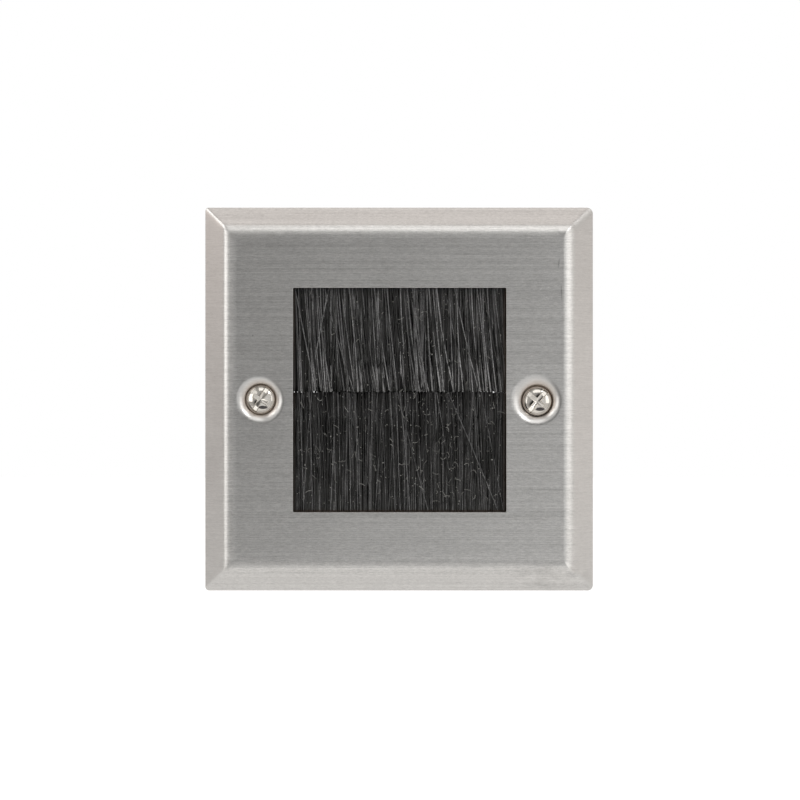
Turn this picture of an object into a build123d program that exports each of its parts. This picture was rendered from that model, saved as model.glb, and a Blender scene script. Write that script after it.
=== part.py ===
from build123d import *

import math
import os
import random

# A single-gang brush wall plate. It faces -Y, +Z is up, and the wall plane is y = 0.
# The origin is midway between the two fixing screws, on the wall plane. All sizes are in millimetres.

# Pressed face plate
PLATE_WIDTH = 85.0
PLATE_HEIGHT = 84.0
PLATE_DEPTH = 5.0
RIM_DEPTH = 0.6
SHEET = 1.0
BEVEL_WIDTH = 5.05
CORNER_RADIUS = 1.0
BEND_RADIUS = 1.6
INNER_RADIUS = 0.3

# From the plate's side edge to a screw's axis, from there to the cable opening,
# and from the plate's top or bottom edge to the opening
SIDE_MARGIN = 12.35
SCREW_MARGIN = 6.95
END_MARGIN = 17.6
OPENING_CORNER = 0.5

# Fixing screws, and the dish pressed round each of them
THREAD_RADIUS = 1.75
NECK_RADIUS = 1.45
SCREW_LENGTH = 25.0
SCREW_TIP = 0.9
THREAD_CHAMFER = 0.2
HEAD_RADIUS = 3.15
HEAD_EDGE = 0.25
HEAD_DOME = 1.0
HEAD_SINK = 1.15
SLOT_WIDTH = 1.0
SLOT_DEPTH = 1.15
CROSS_SPAN = 3.4
CROSS_DEPTH = 1.5
SLOT_ANGLES = {"left": 59.0, "right": 50.0}
DISH_RADIUS = 5.1
DISH_DEPTH = 0.95
DISH_LIP = 0.5
DISH_WALL = 0.8
WELL_CLEARANCE = 0.4
WELL_TAPER = 0.15
SEAT_GAP = 0.05
SCREW_HOLE_RADIUS = 2.15
HOLE_EDGE = 0.35

# Nylon washer that keeps each screw in the plate
RETAINER_RADIUS = 4.0
RETAINER_THICKNESS = 0.8
RETAINER_GAP = 0.05

# Moulded rear frame
FRAME_MARGIN = 0.4
FRAME_THIN_WALL = 1.0
FRAME_BACK_WALL = 1.5
RAIL_WIDTH = 7.45
LUG_NOTCH_HEIGHT = 16.0
FRAME_CORNER = 2.0
FRAME_EDGE = 0.4
DISH_CLEARANCE = 0.2
CORE_WALL = 1.1
CORE_DEPTH = 4.2

# Strip brushes
CHANNEL_WIDTH = 4.0
CHANNEL_HEIGHT = 4.5
CHANNEL_WALL = 0.6
CHANNEL_BEND = 0.8
CHANNEL_CRIMP = 0.3
CRIMP_HEIGHT = 0.6
CHANNEL_OVERLAP = 1.45
CHANNEL_CLEARANCE = 0.1
WIRE_RADIUS = 0.6
BRISTLE_CLEARANCE = 0.05
BRISTLE_SIDE_GAP = 0.15
BRISTLE_THICKNESS = 3.0
FLARE_LENGTH = 4.0
TUFT_WIDTH = 0.8
TUFT_DEPTH = 0.25
TIP_NOTCH = 0.3
TIP_SCATTER = 0.15
SEAM_HEIGHT = 1.9
SEAM_GAP = 0.1

# Weld studs and push-on nuts that hold the frame
STUD_RADIUS = 1.25
STUD_FOOT_RADIUS = 1.9
STUD_FOOT_HEIGHT = 0.4
STUD_HEIGHT = 16.0
STUD_CLEARANCE = 0.15
STUD_END = 1.2
NUT_RADIUS = 3.1
NUT_THICKNESS = 0.35
NUT_DOME = 0.5
NUT_GAP = 0.02
NUT_CUT_WIDTH = 0.4
NUT_CUTS = 6

# Places that follow from the sizes above
FACE_Y = -PLATE_DEPTH
SHEET_BACK = FACE_Y + SHEET
FIXING_PITCH = PLATE_WIDTH - 2 * SIDE_MARGIN
OPENING_WIDTH = FIXING_PITCH - 2 * SCREW_MARGIN
OPENING_HEIGHT = PLATE_HEIGHT - 2 * END_MARGIN
SCREW_X = {"left": -FIXING_PITCH / 2, "right": FIXING_PITCH / 2}

HEAD_TOP = FACE_Y + HEAD_SINK
CONE_TOP = HEAD_TOP + HEAD_EDGE
CONE_END = CONE_TOP + HEAD_RADIUS - NECK_RADIUS
WELL_RADIUS = HEAD_RADIUS + WELL_CLEARANCE
DISH_SLOPE = math.atan2(DISH_DEPTH, DISH_RADIUS - WELL_RADIUS)
DISH_BACK_RADIUS = DISH_RADIUS + SHEET * math.tan(DISH_SLOPE / 2)
SEAT_OFFSET = SEAT_GAP * math.sqrt(2)
SEAT_RADIUS = WELL_RADIUS - WELL_TAPER
SEAT_TOP = CONE_TOP + HEAD_RADIUS + SEAT_OFFSET - SEAT_RADIUS
SEAT_END = CONE_TOP + HEAD_RADIUS + SEAT_OFFSET - SCREW_HOLE_RADIUS
DISH_BACK = SEAT_END + HOLE_EDGE
RETAINER_FRONT = max(DISH_BACK, CONE_END) + RETAINER_GAP
THREAD_START = RETAINER_FRONT + RETAINER_THICKNESS + RETAINER_GAP

FRAME_OPENING_X = OPENING_WIDTH / 2 + FRAME_MARGIN
THIN_WALL_X = FRAME_OPENING_X + FRAME_THIN_WALL
FRAME_X = FRAME_OPENING_X + RAIL_WIDTH
POCKET_Z = OPENING_HEIGHT / 2 + FRAME_MARGIN
POCKET_HEIGHT = CHANNEL_HEIGHT + 2 * CHANNEL_CLEARANCE
POCKET_DEPTH = CHANNEL_WIDTH + 2 * CHANNEL_CLEARANCE
FRAME_Z = POCKET_Z + POCKET_HEIGHT + FRAME_BACK_WALL
FRAME_BACK = SHEET_BACK + POCKET_DEPTH + FRAME_BACK_WALL

CHANNEL_X = FRAME_OPENING_X + CHANNEL_OVERLAP
MOUTH_Z = POCKET_Z + CHANNEL_CLEARANCE
BRUSH_Y = SHEET_BACK + CHANNEL_CLEARANCE + CHANNEL_WIDTH / 2
WIRE_Z = MOUTH_Z + CHANNEL_HEIGHT - CHANNEL_WALL - BRISTLE_CLEARANCE - 2 * WIRE_RADIUS
BRISTLE_X = FRAME_OPENING_X - BRISTLE_SIDE_GAP

STUD_X = THIN_WALL_X + (FRAME_X - THIN_WALL_X) / 2
STUD_PLACES = {
    "top_left": (-STUD_X, STUD_HEIGHT),
    "top_right": (STUD_X, STUD_HEIGHT),
    "bottom_left": (-STUD_X, -STUD_HEIGHT),
    "bottom_right": (STUD_X, -STUD_HEIGHT),
}


def wall_plane(y):
    """A plane parallel to the wall at this y. Its x is +X, its y is +Z, and it extrudes to the front."""
    return Plane.XZ.offset(-y)


def slab(width, height, y_back, y_front, x=0.0, z=0.0):
    """A box between two planes parallel to the wall."""
    centre = (x, (y_back + y_front) / 2, z)
    return Pos(*centre) * Box(width, y_back - y_front, height)


def frustum(width, height, inset, y_back, y_front):
    """A straight-sided taper from a rectangle at the back to one smaller by inset all round in front."""
    back = wall_plane(y_back) * Rectangle(width, height)
    front = wall_plane(y_front) * Rectangle(width - 2 * inset, height - 2 * inset)
    return loft([back, front], ruled=True)


def slanted_edges(shape):
    """The edges that lie along no axis: the mitres of a frustum."""
    straight = [axis_edges for axis in (Axis.X, Axis.Y, Axis.Z) for axis_edges in shape.edges().filter_by(axis)]
    return [edge for edge in shape.edges() if edge not in straight]


def revolved(points):
    """A solid of revolution about the Y axis from points given as (radius, y)."""
    return revolve(make_face(Polyline(*points, close=True)), Axis.Y)


def face_plate():
    """The pressed sheet: a flat face with bevelled sides, an opening, and a dish round each screw."""
    slope_run = PLATE_DEPTH - RIM_DEPTH
    slope_length = math.hypot(BEVEL_WIDTH, slope_run)
    side_wall = SHEET * slope_length / slope_run
    widening = BEVEL_WIDTH * RIM_DEPTH / slope_run

    outer = slab(PLATE_WIDTH, PLATE_HEIGHT, 0.0, -RIM_DEPTH)
    outer += frustum(PLATE_WIDTH, PLATE_HEIGHT, BEVEL_WIDTH, -RIM_DEPTH, FACE_Y)
    corners = [*outer.edges().filter_by(Axis.Y), *slanted_edges(outer)]
    outer = fillet(corners, CORNER_RADIUS)
    outer = fillet(outer.faces().sort_by(Axis.Y)[0].edges(), BEND_RADIUS)

    inner_width = PLATE_WIDTH + 2 * (widening - side_wall)
    inner_height = PLATE_HEIGHT + 2 * (widening - side_wall)
    inner_inset = BEVEL_WIDTH * (PLATE_DEPTH - SHEET) / slope_run
    inner = frustum(inner_width, inner_height, inner_inset, 0.0, SHEET_BACK)
    inner = fillet([*slanted_edges(inner), *inner.faces().sort_by(Axis.Y)[0].edges()], INNER_RADIUS)

    plate = outer - inner
    plug_radius = DISH_BACK_RADIUS + DISH_LIP
    for x in SCREW_X.values():
        plug = Pos(x, (FACE_Y + SHEET_BACK) / 2, 0) * Rot(90, 0, 0) * Cylinder(plug_radius, SHEET)
        plate = plate - plug + Pos(x, 0, 0) * dish(plug_radius)
    opening = RectangleRounded(OPENING_WIDTH, OPENING_HEIGHT, OPENING_CORNER)
    return plate - extrude(wall_plane(0.0) * opening, PLATE_DEPTH)


def dish(plug_radius):
    """The dish pressed round a screw hole, with the flat ring of sheet that it is formed in."""
    front = [
        (plug_radius, FACE_Y),
        (DISH_RADIUS, FACE_Y),
        (WELL_RADIUS, FACE_Y + DISH_DEPTH),
        (SEAT_RADIUS, SEAT_TOP),
        (SCREW_HOLE_RADIUS, SEAT_END),
    ]
    back = [
        (SCREW_HOLE_RADIUS, DISH_BACK),
        (SCREW_HOLE_RADIUS + DISH_WALL, DISH_BACK),
        (WELL_RADIUS + DISH_WALL, FACE_Y + DISH_DEPTH + DISH_WALL),
        (DISH_BACK_RADIUS, SHEET_BACK),
        (plug_radius, SHEET_BACK),
    ]
    section = make_face(Polyline(*front, *back, close=True))
    lip = section.vertices().sort_by_distance((DISH_RADIUS, FACE_Y, 0))[0]
    return revolve(fillet(lip, DISH_LIP), Axis.Y)


def rear_frame():
    """The moulded frame behind the plate, with a pocket for each strip brush and notches for the box lugs."""
    outline = RectangleRounded(2 * FRAME_X, 2 * FRAME_Z, FRAME_CORNER)
    frame = extrude(wall_plane(FRAME_BACK) * outline, FRAME_BACK - SHEET_BACK)
    back_edges = frame.faces().sort_by(Axis.Y)[-1].edges()
    frame = fillet(back_edges, FRAME_EDGE)
    frame -= slab(2 * FRAME_OPENING_X, 2 * POCKET_Z, FRAME_BACK, SHEET_BACK)

    notch_width = FRAME_X - THIN_WALL_X
    core_top = STUD_HEIGHT - STUD_FOOT_RADIUS - CORE_WALL
    core_bottom = LUG_NOTCH_HEIGHT / 2 + CORE_WALL
    for side in (-1, 1):
        frame -= slab(2 * notch_width, LUG_NOTCH_HEIGHT, FRAME_BACK, SHEET_BACK, side * (THIN_WALL_X + notch_width))
        pocket_z = side * (POCKET_Z + POCKET_HEIGHT / 2)
        frame -= slab(
            2 * (CHANNEL_X + CHANNEL_CLEARANCE), POCKET_HEIGHT, SHEET_BACK + POCKET_DEPTH, SHEET_BACK, 0, pocket_z
        )
        for end in (-1, 1):
            frame -= slab(
                notch_width - 2 * CORE_WALL,
                core_top - core_bottom,
                FRAME_BACK,
                FRAME_BACK - CORE_DEPTH,
                side * STUD_X,
                end * (core_top + core_bottom) / 2,
            )

    dish_room = DISH_BACK_RADIUS + DISH_CLEARANCE
    room_depth = DISH_BACK + DISH_CLEARANCE - SHEET_BACK
    for x in SCREW_X.values():
        frame -= Pos(x, SHEET_BACK + room_depth / 2, 0) * Rot(90, 0, 0) * Cylinder(dish_room, room_depth)

    hole_radius = STUD_RADIUS + STUD_CLEARANCE
    foot_radius = STUD_FOOT_RADIUS + STUD_CLEARANCE
    foot_end = SHEET_BACK + STUD_FOOT_HEIGHT + STUD_CLEARANCE
    for x, z in STUD_PLACES.values():
        hole = [
            (0, SHEET_BACK),
            (foot_radius, SHEET_BACK),
            (foot_radius, foot_end),
            (hole_radius, foot_end),
            (hole_radius, FRAME_BACK),
            (0, FRAME_BACK),
        ]
        frame -= Pos(x, 0, z) * revolved(hole)
    return frame


def along_brush(points, half_length):
    """A prism along X from a section given as (y, z) points."""
    section = make_face(Polyline(*points, close=True))
    return extrude(Plane.YZ * section, half_length, both=True)


def brush_channel():
    """The folded metal channel of the upper brush, open downwards, with its lips crimped in."""
    outer = CHANNEL_WIDTH / 2
    inner = outer - CHANNEL_WALL
    lip = inner - CHANNEL_CRIMP
    top = MOUTH_Z + CHANNEL_HEIGHT
    points = [
        (BRUSH_Y - outer, MOUTH_Z + CRIMP_HEIGHT),
        (BRUSH_Y - outer, top),
        (BRUSH_Y + outer, top),
        (BRUSH_Y + outer, MOUTH_Z + CRIMP_HEIGHT),
        (BRUSH_Y + outer - CHANNEL_CRIMP, MOUTH_Z),
        (BRUSH_Y + lip, MOUTH_Z),
        (BRUSH_Y + inner, MOUTH_Z + CRIMP_HEIGHT),
        (BRUSH_Y + inner, top - CHANNEL_WALL),
        (BRUSH_Y - inner, top - CHANNEL_WALL),
        (BRUSH_Y - inner, MOUTH_Z + CRIMP_HEIGHT),
        (BRUSH_Y - lip, MOUTH_Z),
        (BRUSH_Y - outer + CHANNEL_CRIMP, MOUTH_Z),
    ]
    channel = along_brush(points, CHANNEL_X)
    top_edges = channel.faces().sort_by(Axis.Z)[-1].edges().filter_by(Axis.X)
    return fillet(top_edges, min(CHANNEL_BEND, CHANNEL_WALL + INNER_RADIUS))


def core_wire():
    """The wire that the upper brush's bristles are folded over."""
    return Pos(0, BRUSH_Y, WIRE_Z) * Rot(0, 90, 0) * Cylinder(WIRE_RADIUS, 2 * CHANNEL_X)


def tuft_edges():
    """The x of each tuft's two edges, across the brush."""
    count = round(2 * BRISTLE_X / TUFT_WIDTH)
    width = 2 * BRISTLE_X / count
    return [(-BRISTLE_X + n * width, -BRISTLE_X + (n + 1) * width) for n in range(count)]


def ridged_section(tip):
    """The brush's section across the bristles: a row of tufts, each a ridge on the front and on the back."""
    crest = BRISTLE_THICKNESS / 2
    valley = crest - TUFT_DEPTH
    points = [(-BRISTLE_X, valley)]
    for left, right in tuft_edges():
        quarter = (right - left) / 4
        points += [(left + quarter, crest), (right - quarter, crest), (right, valley)]
    outline = [(x, BRUSH_Y - y) for x, y in points]
    outline += [(x, BRUSH_Y + y) for x, y in reversed(points)]
    section = make_face(Polyline(*outline, close=True))
    return extrude(Plane.XY.offset(tip) * section, MOUTH_Z - tip)


def tip_outline(tip, seed):
    """The brush's outline seen from the front, with each tuft ending in a tip of its own length."""
    scatter = random.Random(seed)
    points = [(-BRISTLE_X, tip + TIP_NOTCH)]
    for left, right in tuft_edges():
        points += [((left + right) / 2, tip + scatter.uniform(0, TIP_SCATTER)), (right, tip + TIP_NOTCH)]
    points += [(BRISTLE_X, MOUTH_Z), (-BRISTLE_X, MOUTH_Z)]
    outline = make_face(Polyline(*points, close=True))
    return extrude(wall_plane(BRUSH_Y) * outline, BRISTLE_THICKNESS, both=True)


def bristles(tip, seed):
    """The upper brush's bristles as one solid, from the wire in the channel to the tips."""
    root = CHANNEL_WIDTH / 2 - CHANNEL_WALL - BRISTLE_CLEARANCE
    neck = root - CHANNEL_CRIMP
    crest = BRISTLE_THICKNESS / 2
    top = MOUTH_Z + CHANNEL_HEIGHT - CHANNEL_WALL - BRISTLE_CLEARANCE
    flare = MOUTH_Z - FLARE_LENGTH
    taper = [
        (BRUSH_Y - neck, MOUTH_Z),
        (BRUSH_Y + neck, MOUTH_Z),
        (BRUSH_Y + crest, flare),
        (BRUSH_Y + crest, tip),
        (BRUSH_Y - crest, tip),
        (BRUSH_Y - crest, flare),
    ]
    shoulder = MOUTH_Z + CRIMP_HEIGHT + BRISTLE_CLEARANCE
    fold = [
        (BRUSH_Y - neck, MOUTH_Z),
        (BRUSH_Y + neck, MOUTH_Z),
        (BRUSH_Y + root, shoulder),
        (BRUSH_Y + root, top),
        (BRUSH_Y - root, top),
        (BRUSH_Y - root, shoulder),
    ]
    free_part = ridged_section(tip) & along_brush(taper, BRISTLE_X) & tip_outline(tip, seed)
    folded_part = along_brush(fold, BRISTLE_X)
    eye_radius = WIRE_RADIUS + BRISTLE_CLEARANCE
    eye = Pos(0, BRUSH_Y, WIRE_Z) * Rot(0, 90, 0) * Cylinder(eye_radius, 2 * CHANNEL_X)
    return free_part + folded_part - eye


def upside_down(shape):
    """The same piece on the lower brush."""
    return mirror(shape, about=Plane.XY)


def fixing_screw(side):
    """A raised countersunk machine screw with a combined slot and cross recess, and a neck for its retainer."""
    tip = HEAD_TOP + SCREW_LENGTH
    dome_top = HEAD_TOP - HEAD_DOME
    dome_radius = (HEAD_RADIUS**2 + HEAD_DOME**2) / (2 * HEAD_DOME)
    half_angle = math.asin(HEAD_RADIUS / dome_radius) / 2
    dome_middle = (dome_radius * math.sin(half_angle), dome_top + dome_radius * (1 - math.cos(half_angle)))
    body = [
        (HEAD_RADIUS, HEAD_TOP),
        (HEAD_RADIUS, CONE_TOP),
        (NECK_RADIUS, CONE_END),
        (NECK_RADIUS, THREAD_START),
        (THREAD_RADIUS - THREAD_CHAMFER, THREAD_START),
        (THREAD_RADIUS, THREAD_START + THREAD_CHAMFER),
        (THREAD_RADIUS, tip - SCREW_TIP),
        (THREAD_RADIUS - SCREW_TIP, tip),
        (0, tip),
        (0, dome_top),
    ]
    dome = ThreePointArc((0, dome_top), dome_middle, (HEAD_RADIUS, HEAD_TOP))
    screw = revolve(make_face([dome, *Polyline(*body).edges()]), Axis.Y)
    slot = slab(2 * HEAD_RADIUS + 1, SLOT_WIDTH, dome_top + SLOT_DEPTH, dome_top)
    cross = slab(SLOT_WIDTH, CROSS_SPAN, dome_top + CROSS_DEPTH, dome_top)
    cross += slab(CROSS_SPAN, SLOT_WIDTH, dome_top + CROSS_DEPTH, dome_top)
    screw -= Rot(0, -SLOT_ANGLES[side], 0) * (slot + cross)
    return Pos(SCREW_X[side], 0, 0) * screw


def screw_retainer(side):
    """The thin nylon washer on a screw's neck."""
    inner = NECK_RADIUS + RETAINER_GAP
    back = RETAINER_FRONT + RETAINER_THICKNESS
    ring = [(inner, RETAINER_FRONT), (RETAINER_RADIUS, RETAINER_FRONT), (RETAINER_RADIUS, back), (inner, back)]
    return Pos(SCREW_X[side], 0, 0) * revolved(ring)


def weld_stud(x, z):
    """A plain stud welded to the back of the sheet by its foot."""
    foot_end = SHEET_BACK + STUD_FOOT_HEIGHT
    end = FRAME_BACK + NUT_DOME + NUT_THICKNESS + STUD_END
    points = [
        (0, SHEET_BACK),
        (STUD_FOOT_RADIUS, SHEET_BACK),
        (STUD_FOOT_RADIUS, foot_end),
        (STUD_RADIUS, foot_end),
        (STUD_RADIUS, end),
        (0, end),
    ]
    return Pos(x, 0, z) * revolved(points)


def push_nut(x, z):
    """A domed spring-steel nut, pushed over a stud against the frame, with its bore cut into fingers."""
    bore = STUD_RADIUS + NUT_GAP
    points = [
        (bore, FRAME_BACK + NUT_DOME),
        (NUT_RADIUS, FRAME_BACK),
        (NUT_RADIUS, FRAME_BACK + NUT_THICKNESS),
        (bore, FRAME_BACK + NUT_DOME + NUT_THICKNESS),
    ]
    nut = revolved(points)
    cut_length = (NUT_RADIUS + bore) / 2
    cut = slab(cut_length, NUT_CUT_WIDTH, FRAME_BACK + NUT_DOME + NUT_THICKNESS, FRAME_BACK, cut_length / 2)
    for n in range(NUT_CUTS):
        nut -= Rot(0, n * 360 / NUT_CUTS, 0) * cut
    return Pos(x, 0, z) * nut


def pieces():
    """Every piece of the plate by its name."""
    upper_tip = SEAM_HEIGHT + SEAM_GAP / 2
    lower_tip = SEAM_GAP / 2 - SEAM_HEIGHT
    made = {
        "face_plate": face_plate(),
        "rear_frame": rear_frame(),
        "upper_brush_channel": brush_channel(),
        "upper_core_wire": core_wire(),
        "upper_bristles": bristles(upper_tip, seed=1),
        "lower_brush_channel": upside_down(brush_channel()),
        "lower_core_wire": upside_down(core_wire()),
        "lower_bristles": upside_down(bristles(lower_tip, seed=2)),
    }
    for side in SCREW_X:
        made[f"screw_{side}"] = fixing_screw(side)
        made[f"screw_retainer_{side}"] = screw_retainer(side)
    for place, (x, z) in STUD_PLACES.items():
        made[f"weld_stud_{place}"] = weld_stud(x, z)
        made[f"push_nut_{place}"] = push_nut(x, z)
    return made


os.makedirs("parts", exist_ok=True)
for name, piece in pieces().items():
    export_step(piece, f"parts/{name}.step")
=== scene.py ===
"""Dresses the packed brush wall plate: a pressed brushed-steel face and two strip brushes behind its opening.

The packed solids are the fixed frame. New pieces are surfaces worked out with numpy in millimetres and put
into their meshes in metres; the front faces -Y and +Z is up.
"""

import math

import bmesh
import bpy
import numpy as np
from bpy.props import FloatProperty, FloatVectorProperty, IntProperty, PointerProperty
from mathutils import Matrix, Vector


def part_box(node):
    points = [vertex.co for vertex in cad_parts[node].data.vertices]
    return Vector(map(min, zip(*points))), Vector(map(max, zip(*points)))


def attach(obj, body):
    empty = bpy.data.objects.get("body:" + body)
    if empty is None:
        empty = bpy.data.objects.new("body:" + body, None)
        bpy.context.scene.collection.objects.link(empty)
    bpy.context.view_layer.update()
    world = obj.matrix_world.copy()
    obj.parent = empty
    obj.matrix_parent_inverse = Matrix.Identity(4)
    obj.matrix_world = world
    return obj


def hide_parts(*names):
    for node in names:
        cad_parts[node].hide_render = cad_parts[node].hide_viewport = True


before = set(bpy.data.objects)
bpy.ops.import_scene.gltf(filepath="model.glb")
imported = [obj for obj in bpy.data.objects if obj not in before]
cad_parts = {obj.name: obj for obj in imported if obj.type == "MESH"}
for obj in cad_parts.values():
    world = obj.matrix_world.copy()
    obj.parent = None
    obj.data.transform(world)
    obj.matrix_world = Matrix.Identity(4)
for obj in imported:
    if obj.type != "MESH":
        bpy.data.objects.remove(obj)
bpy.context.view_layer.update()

bl_info = {
    "name": "Brush wall plate",
    "version": (1, 0, 0),
    "blender": (4, 5, 0),
    "location": "3D View > Sidebar > Brush plate",
    "description": "Builds a brushed-steel wall plate with two strip brushes around its packed solids",
    "category": "Add Mesh",
}

MM = 0.001
TAU = 2 * math.pi


def node_box(name):
    """A packed node's lowest and highest corners in millimetres."""
    low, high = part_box(name)
    return np.array(low) / MM, np.array(high) / MM


PLATE_LOW, PLATE_HIGH = node_box("face_plate")
BRUSH_LOW, BRUSH_HIGH = node_box("upper_bristles")
WIRE_LOW, WIRE_HIGH = node_box("upper_core_wire")
FRONT = float(PLATE_LOW[1])
SCREW_TIP = float(node_box("screw_right")[1][1])


def length(name, description, default, soft_max=100.0):
    """A size in millimetres."""
    return FloatProperty(name=name, description=description, default=default, min=0.0, soft_max=soft_max,
                         precision=3)


def share(name, description, default):
    """A value from 0 to 1."""
    return FloatProperty(name=name, description=description, default=default, min=0.0, max=1.0,
                         subtype="FACTOR")


def colour(name, description, default):
    """A linear colour."""
    return FloatVectorProperty(name=name, description=description, default=default, size=3, min=0.0, max=1.0,
                               subtype="COLOR")


def ease(name, side, default):
    """How unevenly a bend turns: 1 is an even arc, and more sets off slowly from the face."""
    return FloatProperty(name=name, description=f"How slowly the {side} bend sets off from the face",
                         default=default, min=0.3, soft_max=3.0)


class PlateSizes(bpy.types.PropertyGroup):
    """Sizes of the pressed face plate, in millimetres."""

    rim: length("Rim", "Upright edge of the sheet next to the wall", 0.6)
    bevel_left: length("Left slope", "Width of the left slope, seen from the front", 4.85)
    bevel_top: length("Top slope", "Width of the top slope, seen from the front", 4.85)
    bevel_right: length("Right slope", "Width of the right slope, seen from the front", 5.45)
    bevel_bottom: length("Bottom slope", "Width of the bottom slope, seen from the front", 4.5)
    sheet: length("Sheet", "Thickness of the steel", 1.0)
    edge: length("Edge", "Rounding where the rim meets the slope", 0.22)
    bend_left: length("Left bend", "Length of sheet in the bend to the left slope", 2.8)
    bend_top: length("Top bend", "Length of sheet in the bend to the top slope", 2.9)
    bend_right: length("Right bend", "Length of sheet in the bend to the right slope", 3.2)
    bend_bottom: length("Bottom bend", "Length of sheet in the bend to the bottom slope", 3.3)
    ease_left: ease("Left ease", "left", 1.7)
    ease_top: ease("Top ease", "top", 1.0)
    ease_right: ease("Right ease", "right", 0.65)
    ease_bottom: ease("Bottom ease", "bottom", 1.0)
    corner_top_left: length("Top left corner", "Rounding of the top left mitre", 0.8)
    corner_top_right: length("Top right corner", "Rounding of the top right mitre", 1.4)
    corner_bottom_left: length("Bottom left corner", "Rounding of the bottom left mitre", 0.85)
    corner_bottom_right: length("Bottom right corner", "Rounding of the bottom right mitre", 1.15)
    corner_face: length("Face corner", "Rounding of the corners where the bends meet the face", 0.25)
    corner_inner: length("Inner corner", "Rounding of the corners inside the sheet", 0.3)
    opening_width: length("Opening width", "Width of the cable opening", 46.4)
    opening_height: length("Opening height", "Height of the cable opening", 48.8)
    opening_corner: length("Opening corner", "Rounding of the opening's corners", 0.2)
    opening_edge: length("Opening edge", "Rounding of the opening's front edge", 0.06)
    opening_drop: length("Opening drop", "How far the opening is pressed below the middle", 0.2)
    opening_shift: length("Opening shift", "How far the opening is pressed to the right of the middle", 0.12)
    flat: length("Flat", "From the plate's edge to where its face is flat all round", 6.85)


class DishSizes(bpy.types.PropertyGroup):
    """Sizes of the dish pressed round each fixing screw, in millimetres."""

    pitch: length("Pitch", "Distance between the two screws", 60.3)
    radius_left: length("Left radius", "Where the left dish leaves the face", 5.3)
    radius_right: length("Right radius", "Where the right dish leaves the face", 5.65)
    shift_left: length("Left shift", "How far the left dish's edge is to the left of its screw", 0.1)
    shift_right: length("Right shift", "How far the right dish's edge is to the left of its screw", 0.34)
    drop: length("Drop", "How far the dishes' edges are below the screws' line", 0.22)
    follow: share("Follow", "How far the middle of a dish follows its screw, from its edge's place", 0.75)
    well: length("Well", "Radius of the wall round the screw's head", 3.2)
    ledge: length("Ledge", "Inner radius of the flat ledge under the head's edge", 2.72)
    steepness: FloatProperty(name="Steepness", description="Slope of the dish where it meets the head's wall",
                             default=math.radians(62.0), subtype="ANGLE")
    hole: length("Hole", "Radius of the screw hole", 2.15)


class ScrewSizes(bpy.types.PropertyGroup):
    """Sizes of the fixing screws, in millimetres."""

    head: length("Head", "Radius of the head", 2.92)
    dome: length("Dome", "Height of the raised head", 0.65)
    sink: length("Sink", "How far the dome's top is below the face", 0.35)
    slot: length("Slot", "Width of the slot", 1.0)
    slot_depth: length("Slot depth", "Depth of the slot below the dome's top", 1.0)
    cross: length("Cross", "Length of the cross recess", 3.5)
    cross_depth: length("Cross depth", "How much deeper the cross is at its middle", 0.52)
    neck: length("Neck", "Radius of the neck under the head", 1.45)
    thread: length("Thread", "Outer radius of the thread", 1.75)
    drop_left: length("Left drop", "How far the left screw sits below the line", 0.08)
    drop_right: length("Right drop", "How far the right screw sits below the line", 0.5)
    pitch: length("Pitch", "Pitch of the thread", 0.6)
    thread_depth: length("Thread depth", "Depth of the thread", 0.34)
    turn_left: FloatProperty(name="Left turn", description="Direction of the left screw's slot",
                             default=math.radians(60.0), subtype="ANGLE")
    turn_right: FloatProperty(name="Right turn", description="Direction of the right screw's slot",
                              default=math.radians(50.0), subtype="ANGLE")


class BrushSizes(bpy.types.PropertyGroup):
    """Sizes of the strip brushes' filaments, in millimetres."""

    upper_count: IntProperty(name="Upper filaments", description="Folded filaments in the upper brush",
                             default=880, min=10, max=1600)
    lower_count: IntProperty(name="Lower filaments", description="Folded filaments in the lower brush",
                             default=1150, min=10, max=1600)
    upper_thickness: length("Upper thickness", "Thickness of the upper brush's filaments", 0.31)
    lower_thickness: length("Lower thickness", "Thickness of the lower brush's filaments", 0.22)
    seam: length("Seam", "Height at which the two brushes meet", 1.55)
    overlap: length("Overlap", "How far the tips of the two brushes reach past each other", 0.1)
    spread: length("Spread", "Half the depth of the brush at its tips", 1.35)
    lint: IntProperty(name="Lint", description="Loose fibres caught on the brushes", default=150, min=0,
                      max=400)
    dust: IntProperty(name="Dust", description="Specks of dust on the brushes", default=1150, min=0, max=1500)


class Finishes(bpy.types.PropertyGroup):
    """Colours and gloss of the finishes."""

    steel: colour("Steel", "Brushed steel", (0.60, 0.592, 0.58))
    steel_gloss: share("Steel roughness", "Roughness of the brushed steel", 0.29)
    # Painted shade: the dish and well colours darken and brown the dishes towards the screws' heads
    dish: colour("Dish", "Browner steel in the dishes", (0.52, 0.45, 0.39))
    well: colour("Well", "Browner steel round the screws' heads", (0.57, 0.49, 0.42))
    nickel: colour("Nickel", "Nickel plate on the screws", (0.70, 0.67, 0.625))
    rim: colour("Head rim", "Browner rim of the screws' heads", (0.5, 0.46, 0.41))
    # Painted reflection: a near-black patch low on each head stands in for the dark surroundings the dome
    # mirrors
    painted_dark_reflection: colour("Dull patch", "Dull patch low on the screws' heads", (0.07, 0.065, 0.065))
    filament: colour("Filament", "Black nylon filament", (0.0212, 0.0214, 0.0198))
    # A brown tint laid on the filaments along the opening's sides and bottom edge
    edge_brown: colour("Edge dust", "Brown dust along the opening's edge", (0.03, 0.018, 0.01))
    lint: colour("Lint", "Dust and loose fibres", (0.26, 0.255, 0.24))
    moulding: colour("Moulding", "Black moulded frame", (0.016, 0.016, 0.017))
    zinc: colour("Zinc", "Galvanised brush channel", (0.56, 0.57, 0.58))
    nylon: colour("Nylon", "Natural nylon washer", (0.78, 0.77, 0.72))
    plain_steel: colour("Plain steel", "Wire, studs and push-on nuts", (0.42, 0.41, 0.4))


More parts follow.
